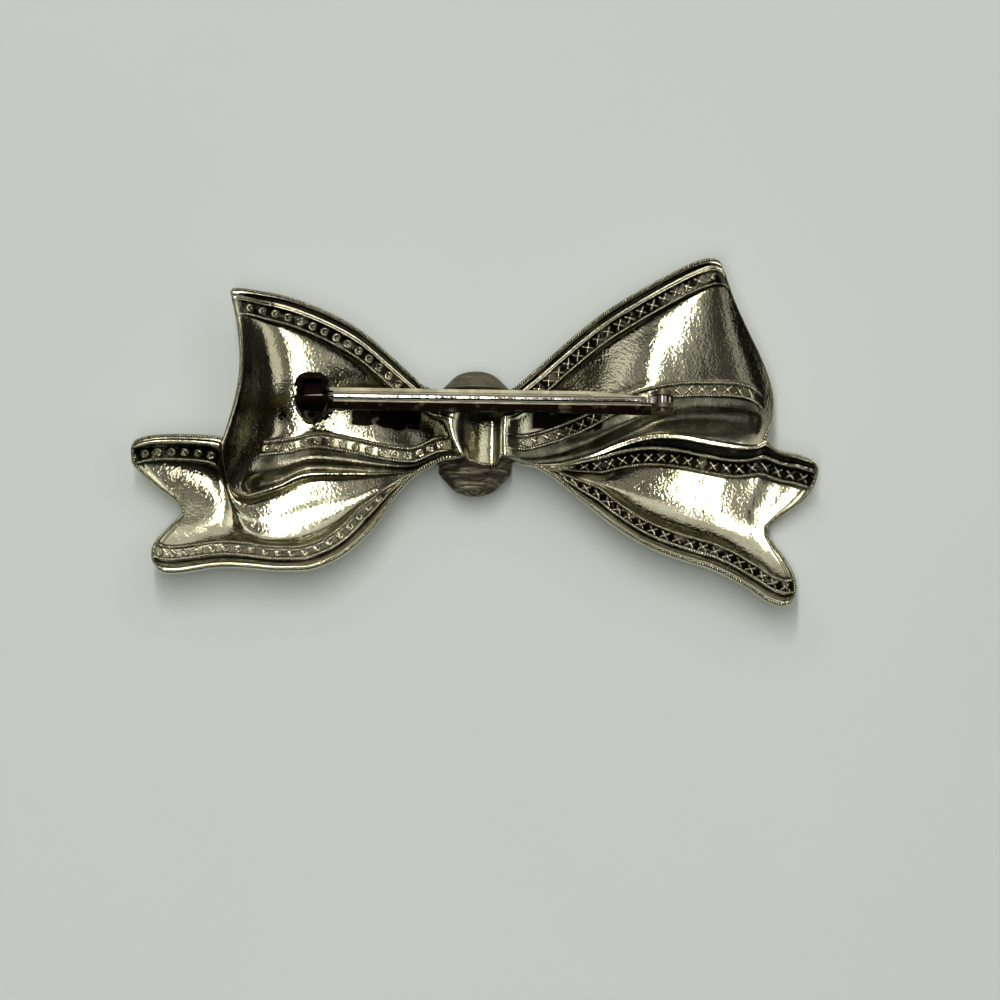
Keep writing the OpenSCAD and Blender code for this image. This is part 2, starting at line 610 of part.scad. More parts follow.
module ears() {
    difference() {
        for (side = [0, 1])
            translate([hinge_x, bar_y - ears_w / 2 + ear_t + side * (ears_w - ear_t), 0])
                ear();
        along_y(rivet_r + run_gap, ears_w + past_cut);
    }
}

// Rounds the catch's ends in plan
module catch_plan(spread) {
    translate([catch_x, bar_y, bar_z])
        scale([catch_l / 2, catch_r, 1])
            cylinder(r = spread, h = 3 * catch_r);
}

// The housing: a short tube round the pin with a slot on top, and a window for the thumb tab between its two rings
module catch_housing() {
    window = tab_w + 2 * window_gap;
    difference() {
        intersection() {
            along_x(catch_r, catch_from, catch_to);
            catch_plan(housing_bulge);
        }
        along_x(catch_r - catch_wall, catch_from - past_cut, catch_to + past_cut);
        translate([catch_from - past_cut, bar_y - slot_w / 2, axis_z])
            cube([catch_l + 2 * past_cut, slot_w, 2 * catch_r]);
        translate([catch_x - window / 2, bar_y - 2 * catch_r, axis_z - window_low * catch_r])
            cube([window, 2 * catch_r, 3 * catch_r]);
        translate([catch_x - window / 2, bar_y - slot_w / 2, axis_z + window_back * catch_r])
            cube([window, 2 * catch_r, 2 * catch_r]);
    }
}

module pin_bar() {
    color("gainsboro")
        place()
            union() {
                difference() {
                    bar_strip();
                    along_x(catch_r - catch_wall, catch_from - past_cut, catch_to + past_cut);
                }
                ears();
                catch_housing();
            }
}

module hinge_rivet() {
    color("lightgray")
        place()
            union() {
                along_y(rivet_r, ears_w + 2 * run_gap + rivet_head_t);
                for (side = [-1, 1])
                    translate([hinge_x, bar_y + side * (ears_w / 2 + run_gap) + (side > 0 ? rivet_head_t : 0), axis_z])
                        rotate([90, 0, 0])
                            cylinder(r = rivet_head_r, h = rivet_head_t);
            }
}

module pin_stem() {
    point_x = catch_from + point_past;
    color("whitesmoke")
        place()
            difference() {
                union() {
                    along_y(eye_r, eye_t);
                    along_x(pin_r, point_x + point_l, hinge_x - neck_l);
                    translate([hinge_x - neck_l, bar_y - eye_t / 2, axis_z - neck_h / 2])
                        cube([neck_l - eye_r / 2, eye_t, neck_h]);
                    translate([point_x, bar_y, axis_z])
                        rotate([0, 90, 0])
                            cylinder(r1 = pin_r / 5, r2 = pin_r, h = point_l);
                }
                along_y(rivet_r + run_gap, eye_t + past_cut);
            }
}

// The thumb tab: a flat loop with a round end, along +Z from the pin's axis
module thumb_tab() {
    reach = catch_r + tab_out;
    rotate([90, 0, 0])
        translate([0, 0, -tab_t / 2])
            linear_extrude(tab_t)
                difference() {
                    union() {
                        translate([-tab_w / 2, roller_r / 2])
                            square([tab_w, reach - tab_w / 2 - roller_r / 2]);
                        translate([0, reach - tab_w / 2])
                            circle(r = tab_w / 2);
                    }
                    translate([0, reach - tab_w / 2])
                        circle(r = tab_eye / 2);
                    translate([-tab_eye / 2, roller_r + tab_root])
                        square([tab_eye, reach - tab_w / 2 - roller_r - tab_root]);
                }
}

module catch_rotor() {
    color("silver")
        place()
            difference() {
                union() {
                    intersection() {
                        along_x(roller_r, catch_from + end_gap, catch_to - end_gap);
                        catch_plan(roller_bulge);
                    }
                    translate([catch_x, bar_y, axis_z])
                        rotate([tab_open, 0, 0])
                            thumb_tab();
                }
                translate([catch_from - past_cut, bar_y - slot_w / 2, axis_z])
                    cube([catch_l + 2 * past_cut, slot_w, 2 * catch_r]);
                along_x(slot_w / 2, catch_from - past_cut, catch_to + past_cut);
                translate([catch_x - tab_w / 2, bar_y, axis_z - roller_r / 2])
                    cube([tab_w, 2 * catch_r, 2 * catch_r]);
            }
}

bow_shell();
knot_cap();
pin_bar();
hinge_rivet();
pin_stem();
catch_rotor();
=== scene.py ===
"""Looks of a bow brooch of die-stamped sheet metal, lying face down with its pin back on top.

Lengths in the classes are millimetres, in the frame of the solids before they are moved to the middle of the outline.
X runs along the pin from the catch to the hinge, Y from the tails to the tops of the loops, and Z is up.
"""

import logging
import math
from dataclasses import dataclass, field
from enum import Enum
from typing import Callable, Sequence

import bmesh
import bpy
import numpy as np
from mathutils import Matrix, Vector


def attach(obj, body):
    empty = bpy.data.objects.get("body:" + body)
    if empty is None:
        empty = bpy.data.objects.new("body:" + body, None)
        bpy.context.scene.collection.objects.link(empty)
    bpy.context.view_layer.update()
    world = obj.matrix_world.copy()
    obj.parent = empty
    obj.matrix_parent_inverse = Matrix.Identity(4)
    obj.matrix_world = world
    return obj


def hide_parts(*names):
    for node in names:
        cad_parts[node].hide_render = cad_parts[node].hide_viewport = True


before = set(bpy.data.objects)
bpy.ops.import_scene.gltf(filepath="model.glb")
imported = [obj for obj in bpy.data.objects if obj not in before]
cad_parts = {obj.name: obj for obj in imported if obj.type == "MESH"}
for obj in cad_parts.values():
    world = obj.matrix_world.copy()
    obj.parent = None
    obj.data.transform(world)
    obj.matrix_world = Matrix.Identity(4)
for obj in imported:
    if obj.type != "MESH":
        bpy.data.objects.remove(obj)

LOG = logging.getLogger("bow_brooch")
MIDDLE = np.array([0.023776, 0.5, 0.0])
MM = 0.001
LATTICE = 64  # cells before a pattern of uneven values repeats
LEAST_STEP = 1e-6
LEAST_SLOPE = 1e-9
LEAST_LENGTH = 1e-12

Array = np.ndarray
Colour = tuple[float, float, float]
Mesh = tuple[Array, Array, Array]
Relief = Callable[[Array, Array], tuple[Array, Array]]
Rows = tuple[tuple[float, ...], ...]
Socket = bpy.types.NodeSocket


class Slot(Enum):
    """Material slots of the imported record."""

    BOW = "bow_metal"
    KNOT = "knot_metal"
    FITTING = "fitting_metal"
    PIN = "pin_metal"


class Body(Enum):
    """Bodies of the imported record."""

    BROOCH = "brooch"
    PIN = "pin"
    CATCH = "catch"


# ---- numbers -------------------------------------------------------------------------------------------------------


def through_rows(rows: Array, at: Array) -> Array:
    """Rows between rows, on a smooth curve through them.

    Args:
        rows: table of rows.
        at: places along the table, from 0 to the last row.

    Returns:
        One row for each place.
    """
    last = len(rows) - 1
    i = np.clip(np.floor(at).astype(int), 0, last - 1)
    f = (at - i)[:, None]
    p, q, r, s = rows[np.maximum(i - 1, 0)], rows[i], rows[i + 1], rows[np.minimum(i + 2, last)]
    return 0.5 * (2 * q + (r - p) * f + (2 * p - 5 * q + 4 * r - s) * f**2 + (3 * q - p - 3 * r + s) * f**3)


def smooth_profile(x: Array, y: Array, at: Array) -> Array:
    """Heights on a curve through each row's points that never overshoots them.

    Args:
        x: rising places of the points, one row for each profile.
        y: heights at those places.
        at: places to read, one row for each profile.

    Returns:
        Heights, in the form of at.
    """
    h = np.maximum(np.diff(x, axis=1), LEAST_STEP)
    d = np.diff(y, axis=1) / h
    w1, w2 = 2 * h[:, 1:] + h[:, :-1], h[:, 1:] + 2 * h[:, :-1]
    same = d[:, 1:] * d[:, :-1] > 0
    near = np.where(np.abs(d) < LEAST_SLOPE, LEAST_SLOPE, d)
    inner = np.where(same, (w1 + w2) / (w1 / near[:, :-1] + w2 / near[:, 1:]), 0)
    m = np.concatenate([d[:, :1], inner, d[:, -1:]], axis=1)
    k = np.clip((at[:, :, None] >= x[:, None, :]).sum(2) - 1, 0, x.shape[1] - 2)
    x0, y0, y1 = (np.take_along_axis(a, k + o, 1) for a, o in ((x, 0), (y, 0), (y, 1)))
    hk, m0, m1 = np.take_along_axis(h, k, 1), np.take_along_axis(m, k, 1), np.take_along_axis(m, k + 1, 1)
    t = np.clip((at - x0) / hk, 0, 1)
    return (
        y0 * (2 * t**3 - 3 * t**2 + 1)
        + m0 * hk * (t**3 - 2 * t**2 + t)
        + y1 * (3 * t**2 - 2 * t**3)
        + m1 * hk * (t**3 - t**2)
    )


def smoothstep(t: Array) -> Array:
    """Eases a share from 0 to 1, level at both ends."""
    return t * t * (3 - 2 * t)


def ramp(past: Array, width: float) -> Array:
    """How much of a width is past, from 0 to 1."""
    return np.clip(past / width, 0, 1)


def hump(off: Array, width: float | Array) -> Array:
    """A smooth hump, 1 high where off is 0 and about 2 widths wide."""
    return np.exp(-((off / width) ** 2))


def lattice_noise(x: Array, y: Array, seed: int) -> Array:
    """Smooth uneven values between -1 and 1, one cell a unit wide.

    Args:
        x: places along the first direction.
        y: places along the second direction.
        seed: which pattern.

    Returns:
        Values in the form of x.
    """
    table = np.random.default_rng(seed).uniform(-1, 1, (LATTICE, LATTICE))
    i, j = np.floor(x).astype(int), np.floor(y).astype(int)
    u, v = smoothstep(x - i), smoothstep(y - j)
    i, next_i, j, next_j = i % LATTICE, (i + 1) % LATTICE, j % LATTICE, (j + 1) % LATTICE
    low = table[i, j] * (1 - u) + table[next_i, j] * u
    high = table[i, next_j] * (1 - u) + table[next_i, next_j] * u
    return low * (1 - v) + high * v


def blurred(rows: Array, spread: float) -> Array:
    """Rows averaged with their neighbours, ends kept in place.

    Args:
        rows: the rows.
        spread: how many rows the average reaches.

    Returns:
        The averaged rows.
    """
    reach = int(3 * spread)
    weights = np.exp(-0.5 * (np.arange(-reach, reach + 1) / spread) ** 2)
    head, tail = rows[:1] * 2 - rows[reach:0:-1], rows[-1:] * 2 - rows[-2 : -reach - 2 : -1]
    padded = np.concatenate([head, rows, tail])
    return np.stack([np.convolve(padded[:, k], weights / weights.sum(), "valid") for k in range(rows.shape[1])], 1)


def unit(v: Array) -> Array:
    """Vectors of length 1 along the last axis."""
    return v / np.maximum(np.linalg.norm(v, axis=-1, keepdims=True), LEAST_LENGTH)


def grid_faces(rows: int, cols: int, closed: bool = False) -> Array:
    """Quads of a grid of points.

    Args:
        rows: number of rows of points.
        cols: number of points in a row.
        closed: whether each row closes on itself.

    Returns:
        Point numbers, four to a face.
    """
    i, j = np.meshgrid(np.arange(rows - 1), np.arange(cols if closed else cols - 1), indexing="ij")
    n = (j + 1) % cols
    a, b, c, d = i * cols + j, (i + 1) * cols + j, (i + 1) * cols + n, i * cols + n
    return np.stack([a, b, c, d], -1).reshape(-1, 4)


# ---- finishes ------------------------------------------------------------------------------------------------------

# Limits in an uneven pattern between which tarnish patches, specks, the painted shade and dirt, and rough spots come in
PATCH_LIMITS = (0.42, 0.66)
SPECK_LIMITS = (0.5, 0.72)
SHADE_AND_DIRT_LIMITS = (0.25, 0.6)
ROUGH_LIMITS = (0.35, 0.7)
# How much the painted shade and dirt varies, how wide its patches are, and how much rougher it makes the metal
SHADE_AND_DIRT_RANGE = (0.85, 1.3)
SHADE_AND_DIRT_SIZE = 1.6
SHADE_AND_DIRT_ROUGHNESS = 0.25
SPECK_TARNISH = 0.8
# Sizes and depths as shares of a metal's peel or patch
SPECK_SIZE = 1.6
ROUGH_SIZE = 0.4
FINE_DEPTH = 0.14
WIDE_SIZE = 3.2
WIDE_DEPTH = 0.10


@dataclass(frozen=True)
class Nodes:
    """A node tree, with short ways to add nodes and to link them."""

    tree: bpy.types.NodeTree

    @classmethod
    def of(cls, owner: bpy.types.Material | bpy.types.World) -> "Nodes":
        """Empties the node tree of a material or a world and takes it.

        Args:
            owner: the material or the world.

        Returns:
            The emptied tree.
        """
        owner.use_nodes = True
        owner.node_tree.nodes.clear()
        return cls(owner.node_tree)

    def add(self, kind: str, **values: object) -> bpy.types.Node:
        """Adds a node.

        Args:
            kind: the node's type.
            values: its settings and inputs by name, with an underscore for each blank.

        Returns:
            The node.
        """
        node = self.tree.nodes.new(kind)
        for key, value in values.items():
            if hasattr(node, key):
                setattr(node, key, value)
            else:
                node.inputs[key.replace("_", " ")].default_value = value
        return node

    def link(self, source: Socket, target: Socket) -> None:
        """Links an output to an input."""
        self.tree.links.new(source, target)

    def surface(self, **values: float) -> tuple[bpy.types.NodeInputs, Socket]:
        """Adds a material's shader and its output.

        Args:
            values: inputs of the shader by name.

        Returns:
            The shader's inputs, and the place of each point on the object.
        """
        shader = self.add("ShaderNodeBsdfPrincipled", **values)
        self.link(shader.outputs[0], self.add("ShaderNodeOutputMaterial").inputs[0])
        return shader.inputs, self.add("ShaderNodeTexCoord").outputs["Object"]

    def noise(self, place: Socket, size: float, detail: float, rough: float = 0.55) -> Socket:
        """Uneven values, size millimetres wide.

        Args:
            place: where they are read.
            size: about how wide each is.
            detail: how many finer layers it has.
            rough: how strong those layers are.

        Returns:
            Values from 0 to 1.
        """
        node = self.add("ShaderNodeTexNoise", Scale=1 / (size * MM), Detail=detail, Roughness=rough)
        self.link(place, node.inputs["Vector"])
        return node.outputs["Fac"]

    def remap(self, value: Socket, limits: tuple[float, float], to: tuple[float, float]) -> Socket:
        """The value between two limits, stretched smoothly to a new range.

        Args:
            value: the value.
            limits: where it begins and stops to count.
            to: the new range.

        Returns:
            The stretched value.
        """
        node = self.add("ShaderNodeMapRange", interpolation_type="SMOOTHSTEP")
        self.link(value, node.inputs[0])
        for socket, number in zip(node.inputs[1:5], (*limits, *to)):
            socket.default_value = number
        return node.outputs[0]

    def blend(self, share: Socket, a: Socket | Colour, b: Colour) -> Socket:
        """Mixes colour a, a socket or a colour, with colour b.

        Args:
            share: how much of b shows.
            a: the first colour.
            b: the second colour.

        Returns:
            The mixed colour.
        """
        node = self.add("ShaderNodeMix", data_type="RGBA")
        self.link(share, node.inputs[0])
        if isinstance(a, tuple):
            node.inputs[6].default_value = (*a, 1)
        else:
            self.link(a, node.inputs[6])
        node.inputs[7].default_value = (*b, 1)
        return node.outputs[2]

    def combine(self, operation: str, a: Socket, b: Socket | float) -> Socket:
        """Combines two values and keeps the result between 0 and 1.

        Args:
            operation: the sum, by the node's name for it.
            a: the first value.
            b: the second value.

        Returns:
            The result.
        """
        node = self.add("ShaderNodeMath", operation=operation, use_clamp=True)
        self.link(a, node.inputs[0])
        if isinstance(b, float):
            node.inputs[1].default_value = b
        else:
            self.link(b, node.inputs[1])
        return node.outputs[0]


@dataclass(frozen=True)
class Metal:
    """A plated, polished or dulled metal with random tarnish, darkened towards a near-black colour by painted shade,
    with some dirt, where the sheet's attribute asks for it.

    Colours are linear. Sizes are in millimetres and depths in shares of them.
    """

    name: str
    clean: Colour
    tarnish: Colour
    # Near-black colour that the painted shade and dirt darken towards
    shade_and_dirt_colour: Colour
    roughness: tuple[float, float]
    peel: float = 0.24
    peel_depth: float = 0.8
    patch: float = 6.0
    tarnish_share: float = 0.4
    metallic: float = 1.0

    def build(self) -> bpy.types.Material:
        """Builds the node material.

        Returns:
            The material.
        """
        material = bpy.data.materials.new(self.name)
        nodes = Nodes.of(material)
        shader, place = nodes.surface(Metallic=self.metallic)

        patches = nodes.remap(nodes.noise(place, self.patch, 4), PATCH_LIMITS, (0, self.tarnish_share))
        specks = nodes.noise(place, self.peel * SPECK_SIZE, 3)
        specks = nodes.remap(specks, SPECK_LIMITS, (0, self.tarnish_share * SPECK_TARNISH))
        # Painted shade and dirt: the attribute at each point, made uneven by noise, darkens the colour towards the
        # near-black colour and roughens the metal
        shade_and_grime = nodes.add("ShaderNodeAttribute", attribute_name="shade_and_grime").outputs["Fac"]
        uneven = nodes.remap(nodes.noise(place, SHADE_AND_DIRT_SIZE, 4), SHADE_AND_DIRT_LIMITS, SHADE_AND_DIRT_RANGE)
        shade_and_dirt_share = nodes.combine("MULTIPLY", shade_and_grime, uneven)
        colour = nodes.blend(nodes.combine("MAXIMUM", patches, specks), self.clean, self.tarnish)
        nodes.link(nodes.blend(shade_and_dirt_share, colour, self.shade_and_dirt_colour), shader["Base Color"])

        rough = nodes.remap(nodes.noise(place, self.patch * ROUGH_SIZE, 3), ROUGH_LIMITS, self.roughness)
        rough = nodes.combine("ADD", rough, nodes.combine("MULTIPLY", shade_and_dirt_share, SHADE_AND_DIRT_ROUGHNESS))
        nodes.link(rough, shader["Roughness"])

        fine, wide = (
            nodes.add("ShaderNodeBump", Strength=self.peel_depth, Distance=self.peel * depth * MM)
            for depth in (FINE_DEPTH, WIDE_DEPTH)
        )
        nodes.link(nodes.noise(place, self.peel, 2.5, 0.5), fine.inputs["Height"])
        nodes.link(nodes.noise(place, self.peel * WIDE_SIZE, 1, 0.4), wide.inputs["Height"])
        nodes.link(fine.outputs[0], wide.inputs["Normal"])
        nodes.link(wide.outputs[0], shader["Normal"])
        return material


@dataclass(frozen=True)
class Tabletop:
    """A pale matt surface with a faint mottle."""

    name: str = "tabletop"
    light: Colour = (0.80, 0.86, 0.84)
    shade: Colour = (0.77, 0.83, 0.81)
    roughness: float = 0.55
    specular: float = 0.3
    mottle: float = 40.0

    def build(self) -> bpy.types.Material:
        """Builds the node material.

        Returns:
            The material.
        """
        material = bpy.data.materials.new(self.name)
        nodes = Nodes.of(material)
        shader, place = nodes.surface(Roughness=self.roughness, Specular_IOR_Level=self.specular)
        mottle = nodes.noise(place, self.mottle, 2, 0.5)
        nodes.link(nodes.blend(mottle, self.light, self.shade), shader["Base Color"])
        return material


@dataclass(frozen=True)
class Finishes:
    """The brooch's metals, built once."""

    bow: bpy.types.Material
    knot: bpy.types.Material
    fitting: bpy.types.Material
    wire: bpy.types.Material

    @classmethod
    def make(cls) -> "Finishes":
        """Builds every finish, each from its clean and tarnished colours, the near-black colour of its painted shade
        and dirt, and its roughness.

        Returns:
            The finishes.
        """
        # The third colour of each metal is the near-black colour of its painted shade and dirt
        metals = (
            Metal("polished_stamping", (0.78, 0.76, 0.55), (0.50, 0.46, 0.27), (0.005, 0.004, 0.0025), (0.05, 0.12),
                  tarnish_share=0.5),
            Metal("dull_knot", (0.26, 0.245, 0.165), (0.16, 0.14, 0.09), (0.05, 0.04, 0.025), (0.42, 0.6),
                  peel=0.3, metallic=0.7),
            Metal("satin_fitting", (0.36, 0.345, 0.23), (0.20, 0.17, 0.10), (0.008, 0.005, 0.003), (0.26, 0.38),
                  peel=0.5, peel_depth=0.5),
            Metal("drawn_wire", (0.52, 0.48, 0.42), (0.34, 0.26, 0.20), (0.03, 0.02, 0.014), (0.08, 0.14),
                  peel=1.2, peel_depth=0.2),
        )
        return cls(*(metal.build() for metal in metals))


# ---- making pieces -------------------------------------------------------------------------------------------------


def hand_over(made: bpy.types.Object, finish: bpy.types.Material, body: Body, stands_for: str) -> None:
    """Gives a piece its finish and its part in the frame.

    Args:
        made: the piece, in the scene.
        finish: its material.
        body: the body that it moves with.
        stands_for: the node that it replaces.
    """
    made.data.materials.append(finish)
    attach(made, body.value)
    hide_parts(stands_for)
    LOG.info("%s: %d points, %d faces", made.name, len(made.data.vertices), len(made.data.polygons))


def make_mesh(name: str, shape: Mesh) -> bpy.types.Object:
    """Makes a mesh object.

    Args:
        name: its name.
        shape: its points in millimetres, its faces and the painted shade and dirt at each point.

    Returns:
        The object, in the scene.
    """
    points, faces, shade_and_grime = shape
    points = (points.reshape(-1, 3) - MIDDLE) * MM
    mesh = bpy.data.meshes.new(name)
    mesh.vertices.add(len(points))
    mesh.vertices.foreach_set("co", points.astype(np.float32).ravel())
    mesh.loops.add(faces.size)
    mesh.loops.foreach_set("vertex_index", faces.ravel().astype(np.int32))
    mesh.polygons.add(len(faces))
    mesh.polygons.foreach_set("loop_start", np.arange(0, faces.size, faces.shape[1], dtype=np.int32))
    mesh.polygons.foreach_set("use_smooth", np.ones(len(faces), bool))
    mesh.update(calc_edges=True)
    mesh.validate()
    # Painted shade and dirt at each point, which the metal reads
    level = mesh.attributes.new("shade_and_grime", "FLOAT", "POINT")
    level.data.foreach_set("value", shade_and_grime.ravel().astype(np.float32))
    made = bpy.data.objects.new(name, mesh)
    bpy.context.scene.collection.objects.link(made)
    return made


@dataclass(frozen=True)
class Ribbon:
    """A narrow strip that follows a line on the sheet: its middle, its direction across and its upright."""

    middle: Array
    across: Array
    upright: Array
    width: Array

    def length(self) -> Array:
        """Distance along the middle at each point."""
        return np.concatenate([[0], np.cumsum(np.linalg.norm(np.diff(self.middle, axis=0), axis=1))])

    def resampled(self, step: float) -> "Ribbon":
        """The same ribbon with even steps.

        Args:
            step: distance between points.

        Returns:
            The new ribbon.
        """
        at = self.length()
        new = np.linspace(0, at[-1], max(3, int(round(at[-1] / step)) + 1))

        def read(values: Array) -> Array:
            """Values at the new places."""
            return np.stack([np.interp(new, at, values[:, k]) for k in range(values.shape[1])], 1)

        return Ribbon(
            read(self.middle), unit(read(self.across)), unit(read(self.upright)), read(self.width[:, None])[:, 0]
        )

    def relief(self, shape: Relief, cols: int) -> Mesh:
        """Points, faces and painted shade of a raised pattern on the ribbon.

        Args:
            shape: raised height and painted shade for a distance along and a share across from -1 to 1.
            cols: number of points across.

        Returns:
            Points, faces and painted shade.
        """
        along, share = np.meshgrid(self.length(), np.linspace(-1, 1, cols), indexing="ij")
        z, shade_and_grime = shape(along, share)
        points = (
            self.middle[:, None]
            + self.across[:, None] * (share * self.width[:, None] / 2)[..., None]
            + self.upright[:, None] * z[..., None]
        )
        return points.reshape(-1, 3), grid_faces(len(self.middle), cols), shade_and_grime.ravel()


def joined(parts: Sequence[Mesh]) -> Mesh:
    """Several meshes as one.

    Args:
        parts: the meshes.

    Returns:
        One mesh.
    """
    points, faces, shade_and_grime, first = [], [], [], 0
    for p, f, g in parts:
        points.append(p)
        faces.append(f + first)
        shade_and_grime.append(g)
        first += len(p)
    return np.concatenate(points), np.concatenate(faces), np.concatenate(shade_and_grime)


# ---- the stamped bow -----------------------------------------------------------------------------------------------

# Rows of a loop from the waist to its open end. ax, bx: shares of the way to the reach. ay, by: shares of the rise.
# Then bow, depth, lip height, width of the rolled edge, and where its groove lies in that width.
LEFT_LOOP = (
    (-0.051, 0.239, -0.059, -0.180, -0.076, 0.04, 1.00, 0.08, 0.4),
    (0.104, 0.308, 0.051, -0.190, 0.00, 0.45, 0.86, 0.1, 0.4),
    (0.175, 0.399, 0.159, -0.262, 0.00, 0.78, 0.66, 0.115, 0.36),
    (0.273, 0.540, 0.304, -0.274, 0.00, 0.92, 0.52, 0.14, 0.32),
    (0.393, 0.701, 0.471, -0.270, 0.02, 0.955, 0.46, 0.164, 0.28),
    (0.521, 0.819, 0.637, -0.277, 0.04, 0.965, 0.42, 0.18, 0.25),
    (0.667, 0.915, 0.751, -0.360, 0.07, 0.985, 0.42, 0.19, 0.25),
    (0.773, 0.962, 0.833, -0.410, 0.10, 0.93, 0.46, 0.2, 0.25),
    (0.848, 0.982, 0.899, -0.440, 0.125, 0.77, 0.54, 0.2, 0.28),
    (0.900, 0.995, 0.961, -0.400, 0.14, 0.52, 0.68, 0.19, 0.3),
    (0.940, 1.001, 0.988, -0.291, 0.13, 0.26, 0.84, 0.16, 0.3),
    (0.971, 1.000, 0.999, -0.163, 0.11, 0.05, 0.96, 0.12, 0.3),
    (0.983, 0.971, 0.999, -0.077, 0.09, 0, 1.00, 0.1, 0.3),
)
RIGHT_LOOP = (
    (-0.052, 0.211, -0.046, -0.137, 0.00, 0.04, 1.00, 0.12, 0.15),
    (-0.005, 0.251, 0.045, -0.169, 0.00, 0.26, 0.82, 0.17, 0.15),
    (0.083, 0.359, 0.180, -0.150, 0.00, 0.48, 0.64, 0.215, 0.15),
    (0.212, 0.524, 0.299, -0.097, 0.00, 0.72, 0.58, 0.225, 0.15),
    (0.345, 0.679, 0.417, -0.030, 0.00, 0.94, 0.62, 0.25, 0.22),
    (0.483, 0.805, 0.536, 0.014, 0.02, 1, 0.72, 0.265, 0.40),
    (0.597, 0.897, 0.655, 0.010, 0.045, 0.84, 0.80, 0.27, 0.55),
    (0.684, 0.961, 0.766, -0.020, 0.07, 0.65, 0.84, 0.27, 0.62),
    (0.735, 0.990, 0.854, -0.042, 0.09, 0.475, 0.87, 0.265, 0.64),
    (0.774, 1.000, 0.917, -0.055, 0.10, 0.3, 0.91, 0.24, 0.64),
    (0.806, 0.986, 0.961, -0.054, 0.105, 0.12, 0.96, 0.17, 0.60),
    (0.827, 0.942, 0.997, -0.031, 0.105, 0, 1.00, 0.08, 0.60),
)
# Rows of a tail beside its loop: bx, by, bow, depth, rim height, share of the upper band that shows, its wall's width
LEFT_TAIL_INNER = (
    (-0.020, -0.188, 0.00, 0, 0.98, 0, 0.2),
    (0.027, -0.210, 0.00, 0.16, 0.96, 0, 0.2),
    (0.101, -0.302, 0.00, 0.38, 0.94, 0, 0.2),
    (0.165, -0.449, 0.00, 0.66, 0.92, 0, 0.2),
    (0.236, -0.679, 0.00, 0.84, 0.90, 0, 0.2),
    (0.322, -0.854, 0.00, 0.926, 0.88, 0, 0.2),
    (0.415, -0.954, 0.00, 0.973, 0.87, 0, 0.2),
    (0.493, -0.970, 0.02, 0.985, 0.86, 0, 0.2),
    (0.549, -0.969, 0.05, 0.966, 0.85, 0, 0.2),
    (0.599, -0.960, 0.09, 0.922, 0.85, 0, 0.2),
    (0.643, -0.955, 0.14, 0.854, 0.85, 0, 0.2),
    (0.687, -0.953, 0.21, 0.775, 0.85, 0.4, 0.2),
    (0.731, -0.958, 0.29, 0.735, 0.85, 1, 0.2),
)
# Rows of a tail past its loop: ax, ay, top, then the columns above
LEFT_TAIL_OUTER = (
    (0.781, -0.057, 1.00, 0.771, -0.973, 0.50, 0.735, 0.85, 1, 0.2),
    (0.843, -0.052, 0.98, 0.809, -0.988, 0.70, 0.71, 0.85, 1, 0.2),
    (0.897, -0.054, 0.96, 0.843, -0.999, 0.83, 0.675, 0.85, 1, 0.2),
    (0.937, -0.062, 0.95, 0.871, -1.000, 0.92, 0.645, 0.85, 1, 0.2),
    (0.965, -0.077, 0.94, 0.890, -0.991, 0.97, 0.625, 0.85, 1, 0.2),
    (0.987, -0.098, 0.93, 0.906, -0.970, 1.00, 0.605, 0.85, 1, 0.2),
)
RIGHT_TAIL_INNER = (
    (0.015, -0.162, 0.00, 0, 0.98, 1, 0.2),
    (0.064, -0.199, 0.00, 0.18, 0.96, 1, 0.2),
    (0.137, -0.277, 0.00, 0.46, 0.94, 1, 0.2),
    (0.223, -0.400, 0.00, 0.8, 0.92, 1, 0.2),
    (0.320, -0.534, 0.00, 0.9, 0.90, 1, 0.3),
    (0.419, -0.644, 0.00, 0.965, 0.89, 1, 0.45),
    (0.505, -0.709, 0.02, 0.995, 0.88, 1, 0.55),
    (0.581, -0.752, 0.05, 0.992, 0.87, 1, 0.6),
    (0.637, -0.780, 0.09, 0.985, 0.86, 1, 0.6),
    (0.676, -0.809, 0.13, 0.955, 0.86, 1, 0.55),
    (0.713, -0.840, 0.18, 0.92, 0.85, 1, 0.5),
    (0.752, -0.878, 0.25, 0.885, 0.85, 1, 0.5),
)
RIGHT_TAIL_OUTER = (
    (0.857, -0.079, 0.99, 0.792, -0.924, 0.50, 0.868, 0.85, 1, 0.45),
    (0.893, -0.096, 0.97, 0.825, -0.965, 0.70, 0.855, 0.85, 1, 0.45),
    (0.926, -0.107, 0.96, 0.852, -0.988, 0.85, 0.845, 0.85, 1, 0.4),
    (0.955, -0.124, 0.95, 0.878, -1.000, 0.95, 0.835, 0.85, 1, 0.4),
    (0.982, -0.147, 0.94, 0.907, -0.992, 1.00, 0.82, 0.85, 1, 0.35),
)
# Ends of the tails: share of the way across, share of the notch's depth
LEFT_END = (
    (0, 0), (0.08, -0.18), (0.15, -0.2), (0.23, 0.03), (0.35, 0.51), (0.44, 0.9), (0.5, 1), (0.64, 0.54), (0.75, 0.13),
    (0.84, -0.08), (0.92, -0.12), (1, 0),
)
RIGHT_END = (
    (0, 0), (0.06, -0.2), (0.13, -0.16), (0.23, 0.09), (0.32, 0.56), (0.39, 0.91), (0.43, 1), (0.53, 0.76),
    (0.63, 0.38), (0.77, 0), (0.88, -0.13), (0.96, -0.09), (1, 0),
)
# Rows between the crest lines of the waist: along, drop, height
WAIST_ROWS = ((0.31, 0.58, 0.88), (0.50, 0.96, 0.95), (0.71, 0.985, 0.93))
# Rows of the loops' patch at which the waist begins and ends
WAIST_FROM = len(LEFT_LOOP) - 1
WAIST_TO = len(LEFT_LOOP) + len(WAIST_ROWS)
